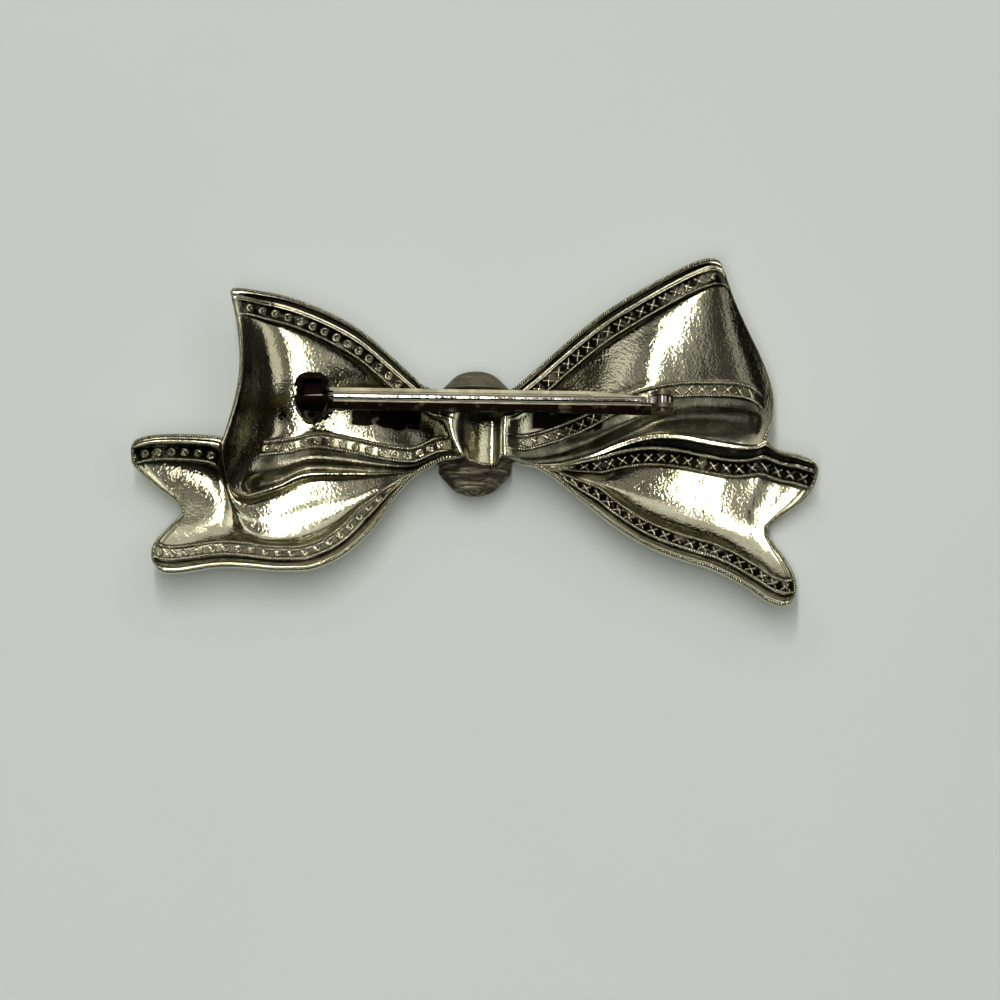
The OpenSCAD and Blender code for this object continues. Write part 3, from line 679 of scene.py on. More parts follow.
# Shares of the depth at the places across a border
RIM_LEVELS = np.array([0, 0, 0.20, 0.22, 0.25, 0.34, 0.36, 0.38])
TAIL_UPPER_LEVELS = np.array([0, 0, 0.06, 0.10, 0.32, 0.54, 0.58, 0.62])
TAIL_STEEP_LEVELS = np.array([0, 0, 0.72, 0.74, 0.78, 0.88, 0.91, 0.93])
TAIL_LOWER_LEVELS = np.array([0, 0, 0.36, 0.38, 0.41, 0.55, 0.58, 0.61])
LIP_LEVELS = np.array([0, 0.2, 0.74, 0.8, 0.84, 0.94, 0.95, 0.96])
LOWER_LEVELS = np.array([0.86, 0.88, 0.89, 0.9, 0.9, 0.9])
ROLL_LEVELS = np.array([1, 0.93, 0.5, 0.08, 0])
# Places across a rolled edge: times the groove's place, plus a share of the roll
ROLL_PLACES = np.array([[0, 0.15, 0.5, 0.85, 0.9, 0.5], [0, 0, 0, 0, 0.1, 0.5]])
FIELD_SHARES = np.arange(1, 6) / 6
# Where a border's two lines stand among its places: upper borders, under the rolls, lower borders of the tails
UPPER_LINES, ROLL_LINES, LOWER_LINES = [3, 6], [4, 1], [6, 3]
# Points between the places across a patch: its upper border, each step of its field, and its lower border
UPPER_COUNTS = (3, 6, 5, 5, 8, 3, 3)
FIELD_COUNT = 6
ROLL_COUNTS = (3, 3, 8, 3, 3, 4, 3, 3, 3, 2, 2)
TAIL_LOWER_COUNTS = (3, 3, 8, 3, 3, 9, 3)
# Spans of lines and motifs: patch, border (0 upper, 1 lower), first and last row
SPANS = (
    ("loops", 0, 2, 11.5), ("loops", 0, 16.75, 25), ("loops", 1, 4, 11.5), ("loops", 1, 16.75, 25.34),
    ("left_tail", 0, 12, 17.67), ("left_tail", 1, 2, 17.59),
    ("right_tail", 0, 1, 15.67), ("right_tail", 1, 1, 15.59),
)


@dataclass(frozen=True)
class Half:
    """One half of the bow: side is -1 on the left and 1 on the right, and grounds is the painted shade, with tarnish,
    under its motif rows.
    """

    name: str
    side: int
    grounds: tuple[float, float]
    loop: Rows
    loop_reach: float
    loop_rise: float
    bend_at: float
    inner: Rows
    outer: Rows
    end: Rows
    tail_reach: float
    tail_drop: float
    notch: float


LEFT = Half(
    name="left_tail", side=-1, grounds=(0.85, 0.42),
    loop=LEFT_LOOP, loop_reach=25.3, loop_rise=14.4, bend_at=1.0,
    inner=LEFT_TAIL_INNER, outer=LEFT_TAIL_OUTER, end=LEFT_END, tail_reach=34.5, tail_drop=14.9, notch=3.5,
)
RIGHT = Half(
    name="right_tail", side=1, grounds=(0.9, 0.9),
    loop=RIGHT_LOOP, loop_reach=29.2, loop_rise=18.3, bend_at=1.8,
    inner=RIGHT_TAIL_INNER, outer=RIGHT_TAIL_OUTER, end=RIGHT_END, tail_reach=34.5, tail_drop=17.3, notch=3.4,
)


@dataclass(frozen=True)
class SheetSizes:
    """Sizes of the stamped sheet that its loops and tails share.

    Widths across end in w, heights in h and levels above the table in z. The rest are shares.
    """

    sheet: float = 0.7
    rim_z: float = 5.4
    rim_w: float = 0.4
    loop_wall_w: float = 0.45
    narrow_wall_w: float = 0.2
    steep_wall_w: float = 0.7
    tail_lower_wall_w: float = 1.0
    ridge_w: float = 0.5
    line_w: float = 0.3
    line_h: float = 0.12
    line_round: float = 0.36
    ridge_h: float = 1.25
    ridge_apart: float = 0.26
    ridge_round: float = 0.2
    full_border_at: float = 7.0
    motif_w: float = 1.1
    motif_sink: float = 0.10
    motif_inset: float = 0.1
    motif_slope: float = 0.15
    waist_w: float = 6.6
    waist_h: float = 6.6
    waist_shift: float = 0.75
    waist_drop: float = 2.1
    field_edge: float = 0.44
    field_sag: float = 0.05
    field_round: float = 0.8
    field_step: float = 0.3
    roll_ridge: float = 0.2
    roll_climb: float = 1.7
    ease_w: float = 0.9
    hem_h: float = 0.16
    hem_w: float = 0.3
    hem_line_h: float = 0.09
    hem_line_w: float = 0.11
    hem_line_at: float = 0.62
    fold_h: float = 0.012
    fold_w: tuple[float, float] = (3.1, 4.3)
    small_fold_w: tuple[float, float] = (1.3, 1.7)
    steepest: float = 1.6

    @property
    def full_depth(self) -> float:
        """Depth of the deepest hollow."""
        return self.rim_z - self.sheet

    def fit(self, width: Array) -> Array:
        """Share of the full border width that fits on a line of that width."""
        return np.minimum(1, width / self.full_border_at)

    def start(self, side: int) -> float:
        """Distance of the waist's crest line from the middle, on one side."""
        return self.waist_w / 2 + side * self.waist_shift

    def places(self, wall: float, first: float) -> Array:
        """Places across a border, from its edge, for the widths of its wall and of its first line."""
        half = self.line_w / 2
        return np.cumsum([0, self.rim_w, wall, first / 2, first / 2, self.motif_w, half, half])


@dataclass(frozen=True)
class Patch:
    """One strip of the sheet, as lines across it with a profile each.

    a, b are the ends of each line, bend(share) its sideways bend, and places and levels its profile. lines are the
    places of its four raised lines, fits the share of a border's width that fits on it, and line_share the share of
    each raised line's height. ease moves the first edge, and end_gap is the distance to the strip's end.
    """

    name: str
    a: Array
    b: Array
    places: Array
    levels: Array
    bend: Callable[[Array], Array]
    lines: Array
    fits: Array
    first_w: float
    grounds: tuple[float, float]
    line_share: Array
    ease: Array = field(default_factory=lambda: np.zeros((1, 2)))
    end_gap: Array = field(default_factory=lambda: np.full((1, 1), 9.0))

    @property
    def width(self) -> Array:
        """Length of each line across."""
        return np.linalg.norm(self.b - self.a, axis=1, keepdims=True)

    def raised(self, at: Array, sizes: SheetSizes) -> Array:
        """Height that the lines and the sunk motif rows add.

        Args:
            at: distances from the first edge, one row for each line.
            sizes: the sheet's sizes.

        Returns:
            Heights in millimetres, in the form of at.
        """
        z = 0
        for k in range(4):
            off = (at - self.lines[:, k : k + 1]) / self.fits
            if k == 0 and self.first_w > sizes.line_w:
                off = np.abs(off) - sizes.ridge_apart * self.first_w
                bulge = sizes.ridge_h * hump(off, sizes.ridge_round * self.first_w)
            else:
                bulge = hump(off, sizes.line_round * sizes.line_w)
            z = z + sizes.line_h * self.fits * self.line_share[:, k : k + 1] * bulge
        for k in (0, 2):
            one, two = self.lines[:, k : k + 1], self.lines[:, k + 1 : k + 2]
            inside = np.abs(two - one) / 2 - sizes.motif_inset - np.abs(at - (one + two) / 2)
            sunk = np.clip(inside / sizes.motif_slope + 0.5, 0, 1)
            z = z - sizes.motif_sink * self.fits * self.line_share[:, k : k + 1] * sunk
        return z

    def points(self, at: Array, sizes: SheetSizes) -> Array:
        """Points of the sheet's back.

        Args:
            at: distances from the first edge, one row for each line.
            sizes: the sheet's sizes.

        Returns:
            Points in millimetres.
        """
        share = np.clip(at / self.width, 0, 1)
        q = self.a[:, None] + (self.b - self.a)[:, None] * share[..., None]
        q = q + self.ease[:, None] * ((1 - hump(at, sizes.ease_w)) * (1 - share))[..., None]
        x, y = q[..., 0] + self.bend(share), q[..., 1]
        z = smooth_profile(self.places, self.levels, at) + self.raised(at, sizes)
        z = z + sizes.hem_h * hump(self.end_gap, sizes.hem_w)
        z = z + sizes.hem_line_h * hump(self.end_gap - sizes.hem_line_at, sizes.hem_line_w)
        (wide_x, wide_y), (small_x, small_y) = sizes.fold_w, sizes.small_fold_w
        folds = lattice_noise(x / wide_x + 7, y / wide_y + 3, 4) + 0.5 * lattice_noise(x / small_x, y / small_y, 9)
        return np.stack([x, y, z + sizes.fold_h * folds], -1)


@dataclass(frozen=True)
class ShadeAndDirt:
    """Painted shade on the sheet, in its walls, grooves, rolled edges and waist, and painted shade with tarnish on the
    grounds of its motif rows: how dark each place gets, from 0 to 1, and how wide its soft edges are, in millimetres.

    A painted shadow of the pin bar is the place of its middle and the slant of its lower edge.
    """

    sizes: SheetSizes
    steps: int
    steep_walls: float = 0.5
    steep_from: float = 1.2
    steep_soft: float = 0.5
    waist: float = 0.7
    waist_rows: tuple[float, float] = (0.15, 1.1)
    waist_soft: tuple[float, float] = (0.2, 0.5)
    rolls: float = 0.62
    roll_soft: float = 0.15
    tail_walls: float = 0.42
    tail_rim_w: float = 0.45
    fronts: float = 0.15
    front_from: float = 1.3
    front_soft: float = 1.2
    soft: float = 0.1
    rim_w: float = 0.2
    wall_past: float = 0.03
    wall_soft: float = 0.08
    wall_least: float = 0.35
    wall_gain: float = 1.5
    inside_gap: float = 0.04
    inside_w: float = 0.09
    outside_gap: float = 0.05
    outside_w: float = 0.1
    # Painted shadows of the pin bar in the loops: middle, slant of the lower edge, size and soft edges
    bar_shadow_spots: tuple[tuple[float, float, float], ...] = ((-9.0, 1.75, -0.14), (9.3, 1.65, 0.1))
    bar_shadow_w: float = 3.7
    bar_shadow_h: float = 0.85
    bar_shadow_top: float = 1.2
    bar_shadow_taper: float = 0.4
    bar_shadow_ragged: float = 0.2
    bar_shadow_soft: float = 0.3

    def line_half(self, patch: Patch) -> Array:
        """Half the width of a raised line on each row of a patch."""
        return self.sizes.line_w * patch.fits / 2

    def border(self, patch: Patch, at: Array, border: int) -> Array:
        """Painted shade in the grooves beside the two lines of a border, and painted shade with tarnish on the ground
        between them.

        Args:
            patch: the patch.
            at: distances from the first edge.
            border: 0 for the upper border, 1 for the lower.

        Returns:
            Painted shade from 0 to 1, in the form of at.
        """
        half = self.line_half(patch)
        inner = half if border else patch.first_w * patch.fits / 2
        pair = patch.lines[:, 2 * border : 2 * border + 2]
        low, high = pair.min(1, keepdims=True), pair.max(1, keepdims=True)
        # Painted shade with tarnish on the ground between the lines, and painted shade in the grooves beside them
        ground = ramp(at - low, self.soft) * ramp(high - at, self.soft)
        beside = border * hump(at - low + half + self.inside_gap, self.inside_w)
        beside = beside + hump(at - low - inner - self.outside_gap, self.outside_w)
        beside = beside + hump(high - at - half - self.inside_gap, self.inside_w)
        beside = beside + hump(at - high - half - self.outside_gap, self.outside_w)
        share = patch.line_share[:, 2 * border : 2 * border + 1]
        return share * np.maximum(patch.grounds[border] * ground, np.minimum(beside, 1))

    def loops(self, patch: Patch, at: Array, place: Array) -> Array:
        """Painted shade on the waist and on the loops' rolled edges, and the pin bar's painted shadows in the loops.

        Args:
            patch: the loops' patch.
            at: distances from the first edge.
            place: points of the back at those distances.

        Returns:
            Painted shade from 0 to 1, in the form of at.
        """
        row = np.arange(len(at))[:, None] / self.steps - WAIST_FROM
        rising, falling = self.waist_soft
        # Painted shade on the waist and on the loops' rolled edges
        total = self.waist * ramp(row - self.waist_rows[0], rising) * ramp(self.waist_rows[1] - row, falling)
        roll = ramp(at - patch.lines[:, 3:] - self.line_half(patch), self.roll_soft) * patch.line_share[:, 3:]
        total = np.maximum(total, self.rolls * roll)
        # Painted shadows of the pin bar, with ragged lower edges
        ragged = self.bar_shadow_ragged * lattice_noise(place[..., 0] * 0.9, place[..., 1] * 1.6, 17)
        for x, y, slant in self.bar_shadow_spots:
            off, up = place[..., 0] - x, place[..., 1] - y
            above = up + self.bar_shadow_h - slant * off - ragged
            inside = np.minimum(self.bar_shadow_taper * (self.bar_shadow_w - np.abs(off)), above)
            total = np.maximum(total, np.clip(np.minimum(inside, self.bar_shadow_top - up) / self.bar_shadow_soft + 0.5, 0, 1))
        return total

    def tail(self, patch: Patch, at: Array) -> Array:
        """Painted shade from 0 to 1 on the wall below a tail's lower border, at distances from the patch's first edge.
        """
        # Painted shade on the wall below the lower border
        below = ramp(at - patch.lines[:, 3:] - self.line_half(patch), self.soft)
        return self.tail_walls * below * ramp(patch.width - self.tail_rim_w - at, self.soft) * patch.line_share[:, 3:]

    def back(self, patch: Patch, at: Array, place: Array, slope: Array) -> Array:
        """Painted shade on the back of a patch: in its upper walls, on its steep walls, beside its lines and, with
        tarnish, under its motif rows.

        Args:
            patch: the patch.
            at: distances from the first edge.
            place: points of the back at those distances.
            slope: area of the sheet at each point as a multiple of what is seen from above.

        Returns:
            Painted shade from 0 to 1, in the form of at.
        """
        # Painted shade on the steep walls and in the walls under the upper edge
        steep = ramp(slope - self.steep_from, self.steep_soft)
        edge = patch.lines[:, :1] - patch.first_w * patch.fits / 2
        wall = ramp(edge + self.wall_past - at, self.wall_soft) * ramp(at - self.rim_w, self.soft)
        wall = wall * np.clip(self.wall_least + self.wall_gain * steep, 0, 1)
        rest = self.loops(patch, at, place) if patch.name == "loops" else self.tail(patch, at)
        total = np.maximum(wall * np.minimum(1, 2 * patch.line_share[:, :1]), rest)
        for border in (0, 1):
            total = np.maximum(total, self.border(patch, at, border))
        return np.clip(np.maximum(total, self.steep_walls * steep), 0, 1)

    def front(self, slope: Array) -> Array:
        """Painted shade on the front of a patch, where its walls are steep."""
        return self.fronts * ramp(slope - self.front_from, self.front_soft)


@dataclass(frozen=True)
class Figures:
    """Struck figures of the borders and the milled rim, with their sizes in millimetres.

    Each figure gives its height and the painted shade around its raised parts for a distance along a ribbon and a share
    across from -1 to 1.
    """

    motif_w: float
    motif_pitch: float = 1.33
    motif_h: float = 0.3
    motif_base: float = 0.03
    soft: float = 0.1
    wear: float = 0.25
    arm_slope: float = 1.05
    arm_w: float = 0.16
    arm_reach: float = 0.5
    heart_w: float = 0.03
    arc_r: float = 0.37
    arc_w: float = 0.13
    arc_bead_at: float = 0.08
    arc_bead_w: float = 0.15
    arc_bead_h: float = 0.8
    bead_pitch: float = 0.27
    bead_lean: float = 0.12
    bead_foot: float = 0.05
    bead_h: float = 0.15
    bead_base: float = 0.02
    bead_shade: float = 0.9
    bead_points: int = 6
    mill_pitch: float = 0.26
    mill_r: float = 0.2
    mill_lean: float = 0.15
    mill_foot: float = 0.5
    mill_h: float = 0.65
    mill_inset: float = 0.9
    mill_points: int = 5
    mill_sides: int = 8

    def beads(self, along: Array, share: Array) -> tuple[Array, Array]:
        """Height and painted shade of the beaded line, darker between and beside the beads.

        Args:
            along: distance along the row.
            share: place across, from -1 to 1.

        Returns:
            Height in millimetres and painted shade from 0 to 1.
        """
        wave = np.abs(np.sin(np.pi * (along / self.bead_pitch + self.bead_lean * share)))
        top = np.sqrt(np.clip(1 - share**2, 0, 1))
        # Painted shade between the beads and on their flanks
        shade_and_dirt = np.clip(1.3 - 2.2 * wave, 0, 1) * self.bead_shade * top + self.bead_shade * (1 - top)
        return top * (self.bead_foot + self.bead_h * np.sqrt(wave)) - self.bead_base, shade_and_dirt

    def places(self, along: Array, share: Array) -> tuple[Array, Array]:
        """Places around the middle of each figure in a motif row."""
        return ((along / self.motif_pitch) % 1 - 0.5) * self.motif_pitch, share * self.motif_w / 2

    def crosses(self, along: Array, share: Array) -> tuple[Array, Array]:
        """Height and painted shade of a row of raised crosses on a ground darkened with painted shade.

        Args:
            along: distance along the row.
            share: place across, from -1 to 1.

        Returns:
            Height in millimetres and painted shade from 0 to 1.
        """
        x, y = self.places(along, share)
        arms = hump(np.abs(y) - self.arm_slope * np.abs(x), self.arm_w) * ramp(self.arm_reach - np.abs(x), self.soft)
        return self.struck(along, share, np.maximum(arms, hump(x**2 + y**2, self.heart_w)))

    def crescents(self, along: Array, share: Array) -> tuple[Array, Array]:
        """Height and painted shade of a row of raised crescents with a bead in each.

        Args:
            along: distance along the row.
            share: place across, from -1 to 1.

        Returns:
            Height in millimetres and painted shade from 0 to 1.
        """
        x, y = self.places(along, share)
        arc = hump(np.hypot(x, y) - self.arc_r, self.arc_w) * np.clip(0.9 - 2.2 * x, 0, 1)
        bead = self.arc_bead_h * hump(np.hypot(x - self.arc_bead_at, y), self.arc_bead_w)
        return self.struck(along, share, np.maximum(arc, bead))

    def struck(self, along: Array, share: Array, raised: Array) -> tuple[Array, Array]:
        """Height and painted shade of a struck figure, unevenly worn, with the ground around it darker.

        Args:
            along: distance along the row.
            share: place across, from -1 to 1.
            raised: the figure, from 0 to 1.

        Returns:
            Height in millimetres and painted shade from 0 to 1.
        """
        left = raised * (1 - self.wear + self.wear * lattice_noise(along * 1.3, share * 1.5 + 5, 31))
        edge = ramp(1 - np.abs(share), self.soft)
        # Painted shade on the ground around each figure
        return edge * (self.motif_h * left - self.motif_base), np.clip(1.1 - 1.7 * left, 0, 1)

    def milled(self, line: Array, inward: Array) -> Mesh:
        """A thin milled cord along an edge.

        Args:
            line: points of the edge.
            inward: direction into the sheet at each.

        Returns:
            Points, faces, and painted shade between the teeth.
        """
        inward = unit(inward * np.array([1, 1, 0.0]))
        ribbon = Ribbon(line, inward, np.tile([0, 0, 1.0], (len(line), 1)), np.ones(len(line)))
        ribbon = ribbon.resampled(self.mill_pitch / self.mill_points)
        turn = np.linspace(0, 2 * np.pi, self.mill_sides + 1)[:-1]
        phase = ribbon.length()[:, None] / self.mill_pitch + self.mill_lean * np.cos(turn)
        wave = np.abs(np.sin(np.pi * phase))
        r = self.mill_r * (self.mill_foot + self.mill_h * np.sqrt(wave))
        points = (
            (ribbon.middle + ribbon.across * self.mill_r * self.mill_inset)[:, None]
            + ribbon.across[:, None] * (r * np.cos(turn))[..., None]
            + ribbon.upright[:, None] * (r * np.sin(turn))[..., None]
        )
        faces = grid_faces(len(points), self.mill_sides, closed=True)
        # Painted shade between the teeth of the cord
        return points.reshape(-1, 3), faces, np.clip(1.7 - 2 * wave, 0, 1).ravel()


@dataclass(frozen=True)
class BowSheet:
    """The stamped sheet: two loops joined by a waist, and two tails."""

    sizes: SheetSizes = field(default_factory=SheetSizes)
    left_band: tuple[float, float] = (3.5, 4.8)
    right_band: tuple[float, float] = (24.6, 26.0)
    # Painted shade, with tarnish, on the grounds of the loops' upper and lower motif rows
    loop_grounds: tuple[float, float] = (0.8, 0.42)
    steps: int = 12
    end_rows: float = 1.6
    end_points: int = 201
    end_blur: float = 14
    end_power: float = 1.5
    edge_blur: float = 9
    bead_cols: int = 7
    motif_cols: int = 21
    motif_step: float = 0.05
    aside: float = 0.12

    def loop_rows(self, half: Half) -> Array:
        """Loop rows in millimetres: ax, ay, bx, by, bow, top, depth, lip, roll, bend_at, groove.

        Args:
            half: the loop's half of the bow.

        Returns:
            One row for each of the table's.
        """
        s = self.sizes
        start = half.side * s.start(half.side)
        way = half.side * half.loop_reach - start
        r = np.array(half.loop).T
        ones = np.ones(len(half.loop))
        columns = [
            start + r[0] * way, r[1] * half.loop_rise, start + r[2] * way, r[3] * half.loop_rise,
            r[4] * half.loop_rise, s.rim_z * ones, r[5] * s.full_depth, r[6] * s.rim_z, r[7], half.bend_at * ones, r[8],
        ]
        return np.stack(columns, 1)

    def waist_rows(self) -> Array:
        """Rows across the waist, in the columns of loop_rows.

        Returns:
            One row for each of WAIST_ROWS.
        """
        s = self.sizes
        rows = []
        for share, drop, height in WAIST_ROWS:
            x, y, z = share * s.waist_w - s.start(-1), height * s.waist_h / 2, s.rim_z - drop * s.waist_drop
            rows.append([x, y, x, -y, 0, z, 0, z, LEFT_LOOP[0][7], 1, LEFT_LOOP[0][8]])
        return np.array(rows)

    def fine_rows(self, table: Array) -> tuple[Array, Array]:
        """Places along a table of rows at even steps, and the rows at those places."""
        at = np.arange((len(table) - 1) * self.steps + 1) / self.steps
        return at, through_rows(table, at)

    def band(self, at: Array) -> Array:
        """Share of the loops' lower border that shows on each row.

        Args:
            at: the rows.

        Returns:
            Shares from 0 to 1, in a column.
        """
        (left, left_full), (right_full, right) = self.left_band, self.right_band
        shown = np.minimum((at - left) / (left_full - left), (right - at) / (right - right_full))
        return smoothstep(np.clip(shown, 0, 1))[:, None]

    def strip(self) -> Patch:
        """The patch of both loops and the waist, from the left loop's open end to the right one's.

        Returns:
            The patch.
        """
        s = self.sizes
        at, r = self.fine_rows(np.concatenate([self.loop_rows(LEFT)[::-1], self.waist_rows(), self.loop_rows(RIGHT)]))
        a, b = r[:, 0:2], r[:, 2:4]
        w = np.linalg.norm(b - a, axis=1, keepdims=True)
        bow, top, depth, lip, roll, bend_at, groove = (r[:, k : k + 1] for k in range(4, 11))
        fit, roll, band, floor_z = s.fit(w), roll * w, self.band(at), top - depth
        up = fit * s.places(s.loop_wall_w, s.ridge_w)
        low = roll + fit * (s.places(0, s.line_w)[2:] - s.rim_w)
        start, end = up[:, 7:], w - low[:, 5:]
        step = np.minimum(s.field_step * fit, s.field_step * (end - start))
        t = np.concatenate([[0], FIELD_SHARES])
        field_at = start + step + (end - start - step) * t
        sag = s.field_edge + (LOWER_LEVELS[5] - s.field_edge) * t + s.field_sag * np.sin(np.pi * t)
        roll_at = roll * (groove * ROLL_PLACES[0] + ROLL_PLACES[1])
        roll_z = np.concatenate([floor_z + (lip - top + depth) * ROLL_LEVELS, floor_z + s.roll_ridge * depth], 1)
        edge_at = np.concatenate([roll_at, low], 1)
        edge_z = np.concatenate([roll_z, top - depth * LOWER_LEVELS], 1)
        plain_z = edge_z[:, -1:] + (lip - edge_z[:, -1:]) * (1 - edge_at / edge_at[:, -1:]) ** s.roll_climb
        edge_z = plain_z + (edge_z - plain_z) * band
        return Patch(
            name="loops", a=a, b=b,
            places=np.concatenate([up, field_at, w - edge_at[:, ::-1]], 1),
            levels=np.concatenate([top - depth * RIM_LEVELS, top - depth * sag, edge_z[:, ::-1]], 1),
            bend=lambda share: bow * np.sin(np.pi * np.power(share, bend_at)),
            lines=np.concatenate([up[:, UPPER_LINES], w - low[:, ROLL_LINES]], 1),
            fits=fit, first_w=s.ridge_w, grounds=self.loop_grounds,
            line_share=np.minimum(1, depth) * np.concatenate([np.ones_like(fit), np.ones_like(fit), band, band], 1),
        )

    def tail_rows(self, half: Half, loop: Array) -> Array:
        """Tail rows in millimetres: ax, ay, az, bx, by, bow, depth, bz, band, wall.

        Args:
            half: the tail's half of the bow.
            loop: rows of the loop whose edge it shares.

        Returns:
            One row for each of the two tables'.
        """
        s = self.sizes
        start = half.side * s.start(half.side)
        way = half.side * half.tail_reach - start
        edges = [[row[2], row[3], row[7]] for row in loop[: len(half.inner)]]
        edges += [[start + q[0] * way, q[1] * half.tail_drop, q[2] * s.rim_z] for q in half.outer]
        rest = [
            [start + q[0] * way, q[1] * half.tail_drop, -half.side * q[2] * half.notch, q[3] * s.full_depth,
             q[4] * s.rim_z, q[5], q[6]]
            for q in half.inner + tuple(q[3:] for q in half.outer)
        ]
        return np.concatenate([edges, rest], 1)

    def notched(self, half: Half, at: Array, last: int) -> Callable[[Array], Array]:
        """Shares of a tail's notch across each of its lines, softer away from its end.

        Args:
            half: the tail's half of the bow.
            at: the row of each line.
            last: the last row.

        Returns:
            Share of the notch's depth for a share of the way across.
        """
        shape = np.array(half.end)
        across = np.linspace(0, 1, self.end_points)
        sharp = smooth_profile(shape[None, :, 0], shape[None, :, 1], across[None])[0]
        soft = blurred(sharp[:, None], self.end_blur)[:, 0]
        soft = soft - soft[0] - (soft[-1] - soft[0]) * across
        near = ramp(at[:, None] - last + self.end_rows, self.end_rows) ** self.end_power
        return lambda share: np.interp(share, across, sharp) * near + np.interp(share, across, soft) * (1 - near)

    def tail(self, half: Half) -> Patch:
        """The patch of one tail.

        Args:
            half: the tail's half of the bow.

        Returns:
            The patch, from the waist to the tail's end.
        """
        s = self.sizes
        loop = self.loop_rows(half)
        table = self.tail_rows(half, loop)
        at, r = self.fine_rows(table)
        shared = at <= len(half.inner) - 1
        r[shared, 0:3] = through_rows(loop, at[shared])[:, [2, 3, 7]]
        a, b = r[:, 0:2], r[:, 3:5]
        w = np.linalg.norm(b - a, axis=1, keepdims=True)
        top, bow, depth, rim, band, wall = (r[:, k : k + 1] for k in (2, 5, 6, 7, 8, 9))
        fit, band, floor_z = s.fit(w), np.clip(band, 0, 1), s.rim_z - depth
        up = fit * (s.places(0, s.line_w) + wall * (np.arange(8) > 1))
        low = fit * s.places(s.tail_lower_wall_w, s.line_w)
        steep = (wall - s.narrow_wall_w) / (s.steep_wall_w - s.narrow_wall_w)
        level = TAIL_UPPER_LEVELS + (TAIL_STEEP_LEVELS - TAIL_UPPER_LEVELS) * steep
        level = LIP_LEVELS + (level - LIP_LEVELS) * band
        upper = top + (np.minimum(top, floor_z) - top) * level
        lower = rim + (floor_z - rim) * TAIL_LOWER_LEVELS
        base = upper[:, 7:] + (lower[:, 7:] - upper[:, 7:]) * FIELD_SHARES
        field_z = base + (floor_z - base) * np.sin(np.pi * FIELD_SHARES) ** s.field_round
        field_at = up[:, 7:] + (w - low[:, 7:] - up[:, 7:]) * FIELD_SHARES
        notch = self.notched(half, at, len(table) - 1)
        to_end = np.cumsum(np.linalg.norm(np.diff((a + b) / 2, axis=0), axis=1)[::-1])[::-1]
        rise_up, rise_low = np.minimum(1, np.maximum(top - floor_z, 0)) * band, np.minimum(1, rim - floor_z)
        return Patch(
            name=half.name, a=a, b=b,
            places=np.concatenate([up, field_at, w - low[:, ::-1]], 1),
            levels=np.concatenate([upper, field_z, lower[:, ::-1]], 1),
            bend=lambda share: bow * notch(share),
            lines=np.concatenate([up[:, UPPER_LINES], w - low[:, LOWER_LINES]], 1),
            fits=fit, first_w=s.line_w, grounds=half.grounds,
            line_share=np.concatenate([rise_up, rise_up, rise_low, rise_low], 1),
            ease=blurred(a, self.edge_blur) - a,
            end_gap=np.concatenate([to_end, [0]])[:, None],
        )

    def columns(self, patch: Patch) -> Array:
        """Places to sample across each line of a patch, closer on its borders.

        Args:
            patch: the patch.

        Returns:
            Distances from the first edge, one row for each line.
        """
        knots = patch.places
        last = ROLL_COUNTS if patch.name == "loops" else TAIL_LOWER_COUNTS
        fields = knots.shape[1] - 1 - len(UPPER_COUNTS) - len(last)
        counts = UPPER_COUNTS + (FIELD_COUNT,) * fields + last
        parts = [
            knots[:, k : k + 1] + (knots[:, k + 1 : k + 2] - knots[:, k : k + 1]) * (np.arange(n) / n)
            for k, n in enumerate(counts)
        ]
        return np.concatenate(parts + [knots[:, -1:]], 1)

    def body_mesh(self, patch: Patch, at: Array, back: Array) -> Mesh:
        """Closed sheet of one patch: its back, its front and its edges.

        Args:
            patch: the patch.
            at: distances from the first edge.
            back: points of the back at those distances.

        Returns:
            Points, faces, and painted shade with some tarnish.
        """
        s = self.sizes
        n = np.cross(np.gradient(back, axis=0), np.gradient(back, axis=1))
        slope = np.linalg.norm(n, axis=-1) / np.maximum(np.abs(n[..., 2]), LEAST_STEP)
        front = back.copy()
        front[..., 2] = np.maximum(back[..., 2] - s.sheet * np.minimum(s.steepest, slope), 0)
        rows, cols = slope.shape
        faces = grid_faces(rows, cols)
        if n[rows // 2, cols // 2, 2] < 0:
            faces = faces[:, ::-1]
        number = np.arange(slope.size).reshape(rows, cols)
        p = np.concatenate([number[0], number[1:, -1], number[-1, -2::-1], number[-2:0:-1, 0]])
        q = np.roll(p, -1)
        sides = np.stack([p, q, q + slope.size, p + slope.size], 1)
        points = np.concatenate([back.reshape(-1, 3), front.reshape(-1, 3)])
        # Painted shade, with tarnish on the motif grounds, for the back and front of the sheet
        shade_and_dirt = ShadeAndDirt(s, self.steps)
        shade_and_grime = np.concatenate([shade_and_dirt.back(patch, at, back, slope).ravel(), shade_and_dirt.front(slope).ravel()])
        return points, np.concatenate([faces, faces[:, ::-1] + slope.size, sides]), shade_and_grime

    def ribbon(self, patch: Patch, at: Array, width: float, keep: Array, step: float) -> Ribbon:
        """A ribbon along a patch at given distances from its first edge.

        Args:
            patch: the patch.
            at: the distance on each line.
            width: the ribbon's full width.
            keep: which lines it runs over.
            step: distance between its points.

        Returns:
            The ribbon.
        """
        aside = np.array([-self.aside, 0, self.aside])
        before, middle, after = np.moveaxis(patch.points(at[:, None] + aside, self.sizes)[keep], 1, 0)
        along = np.gradient(middle, axis=0)
        upright = unit(np.cross(along, unit(after - before)))
        upright = upright * np.sign(upright[:, 2:3])
        across = unit(np.cross(upright, unit(along)))
        return Ribbon(middle, across, upright, (width * patch.fits[:, 0])[keep]).resampled(step)

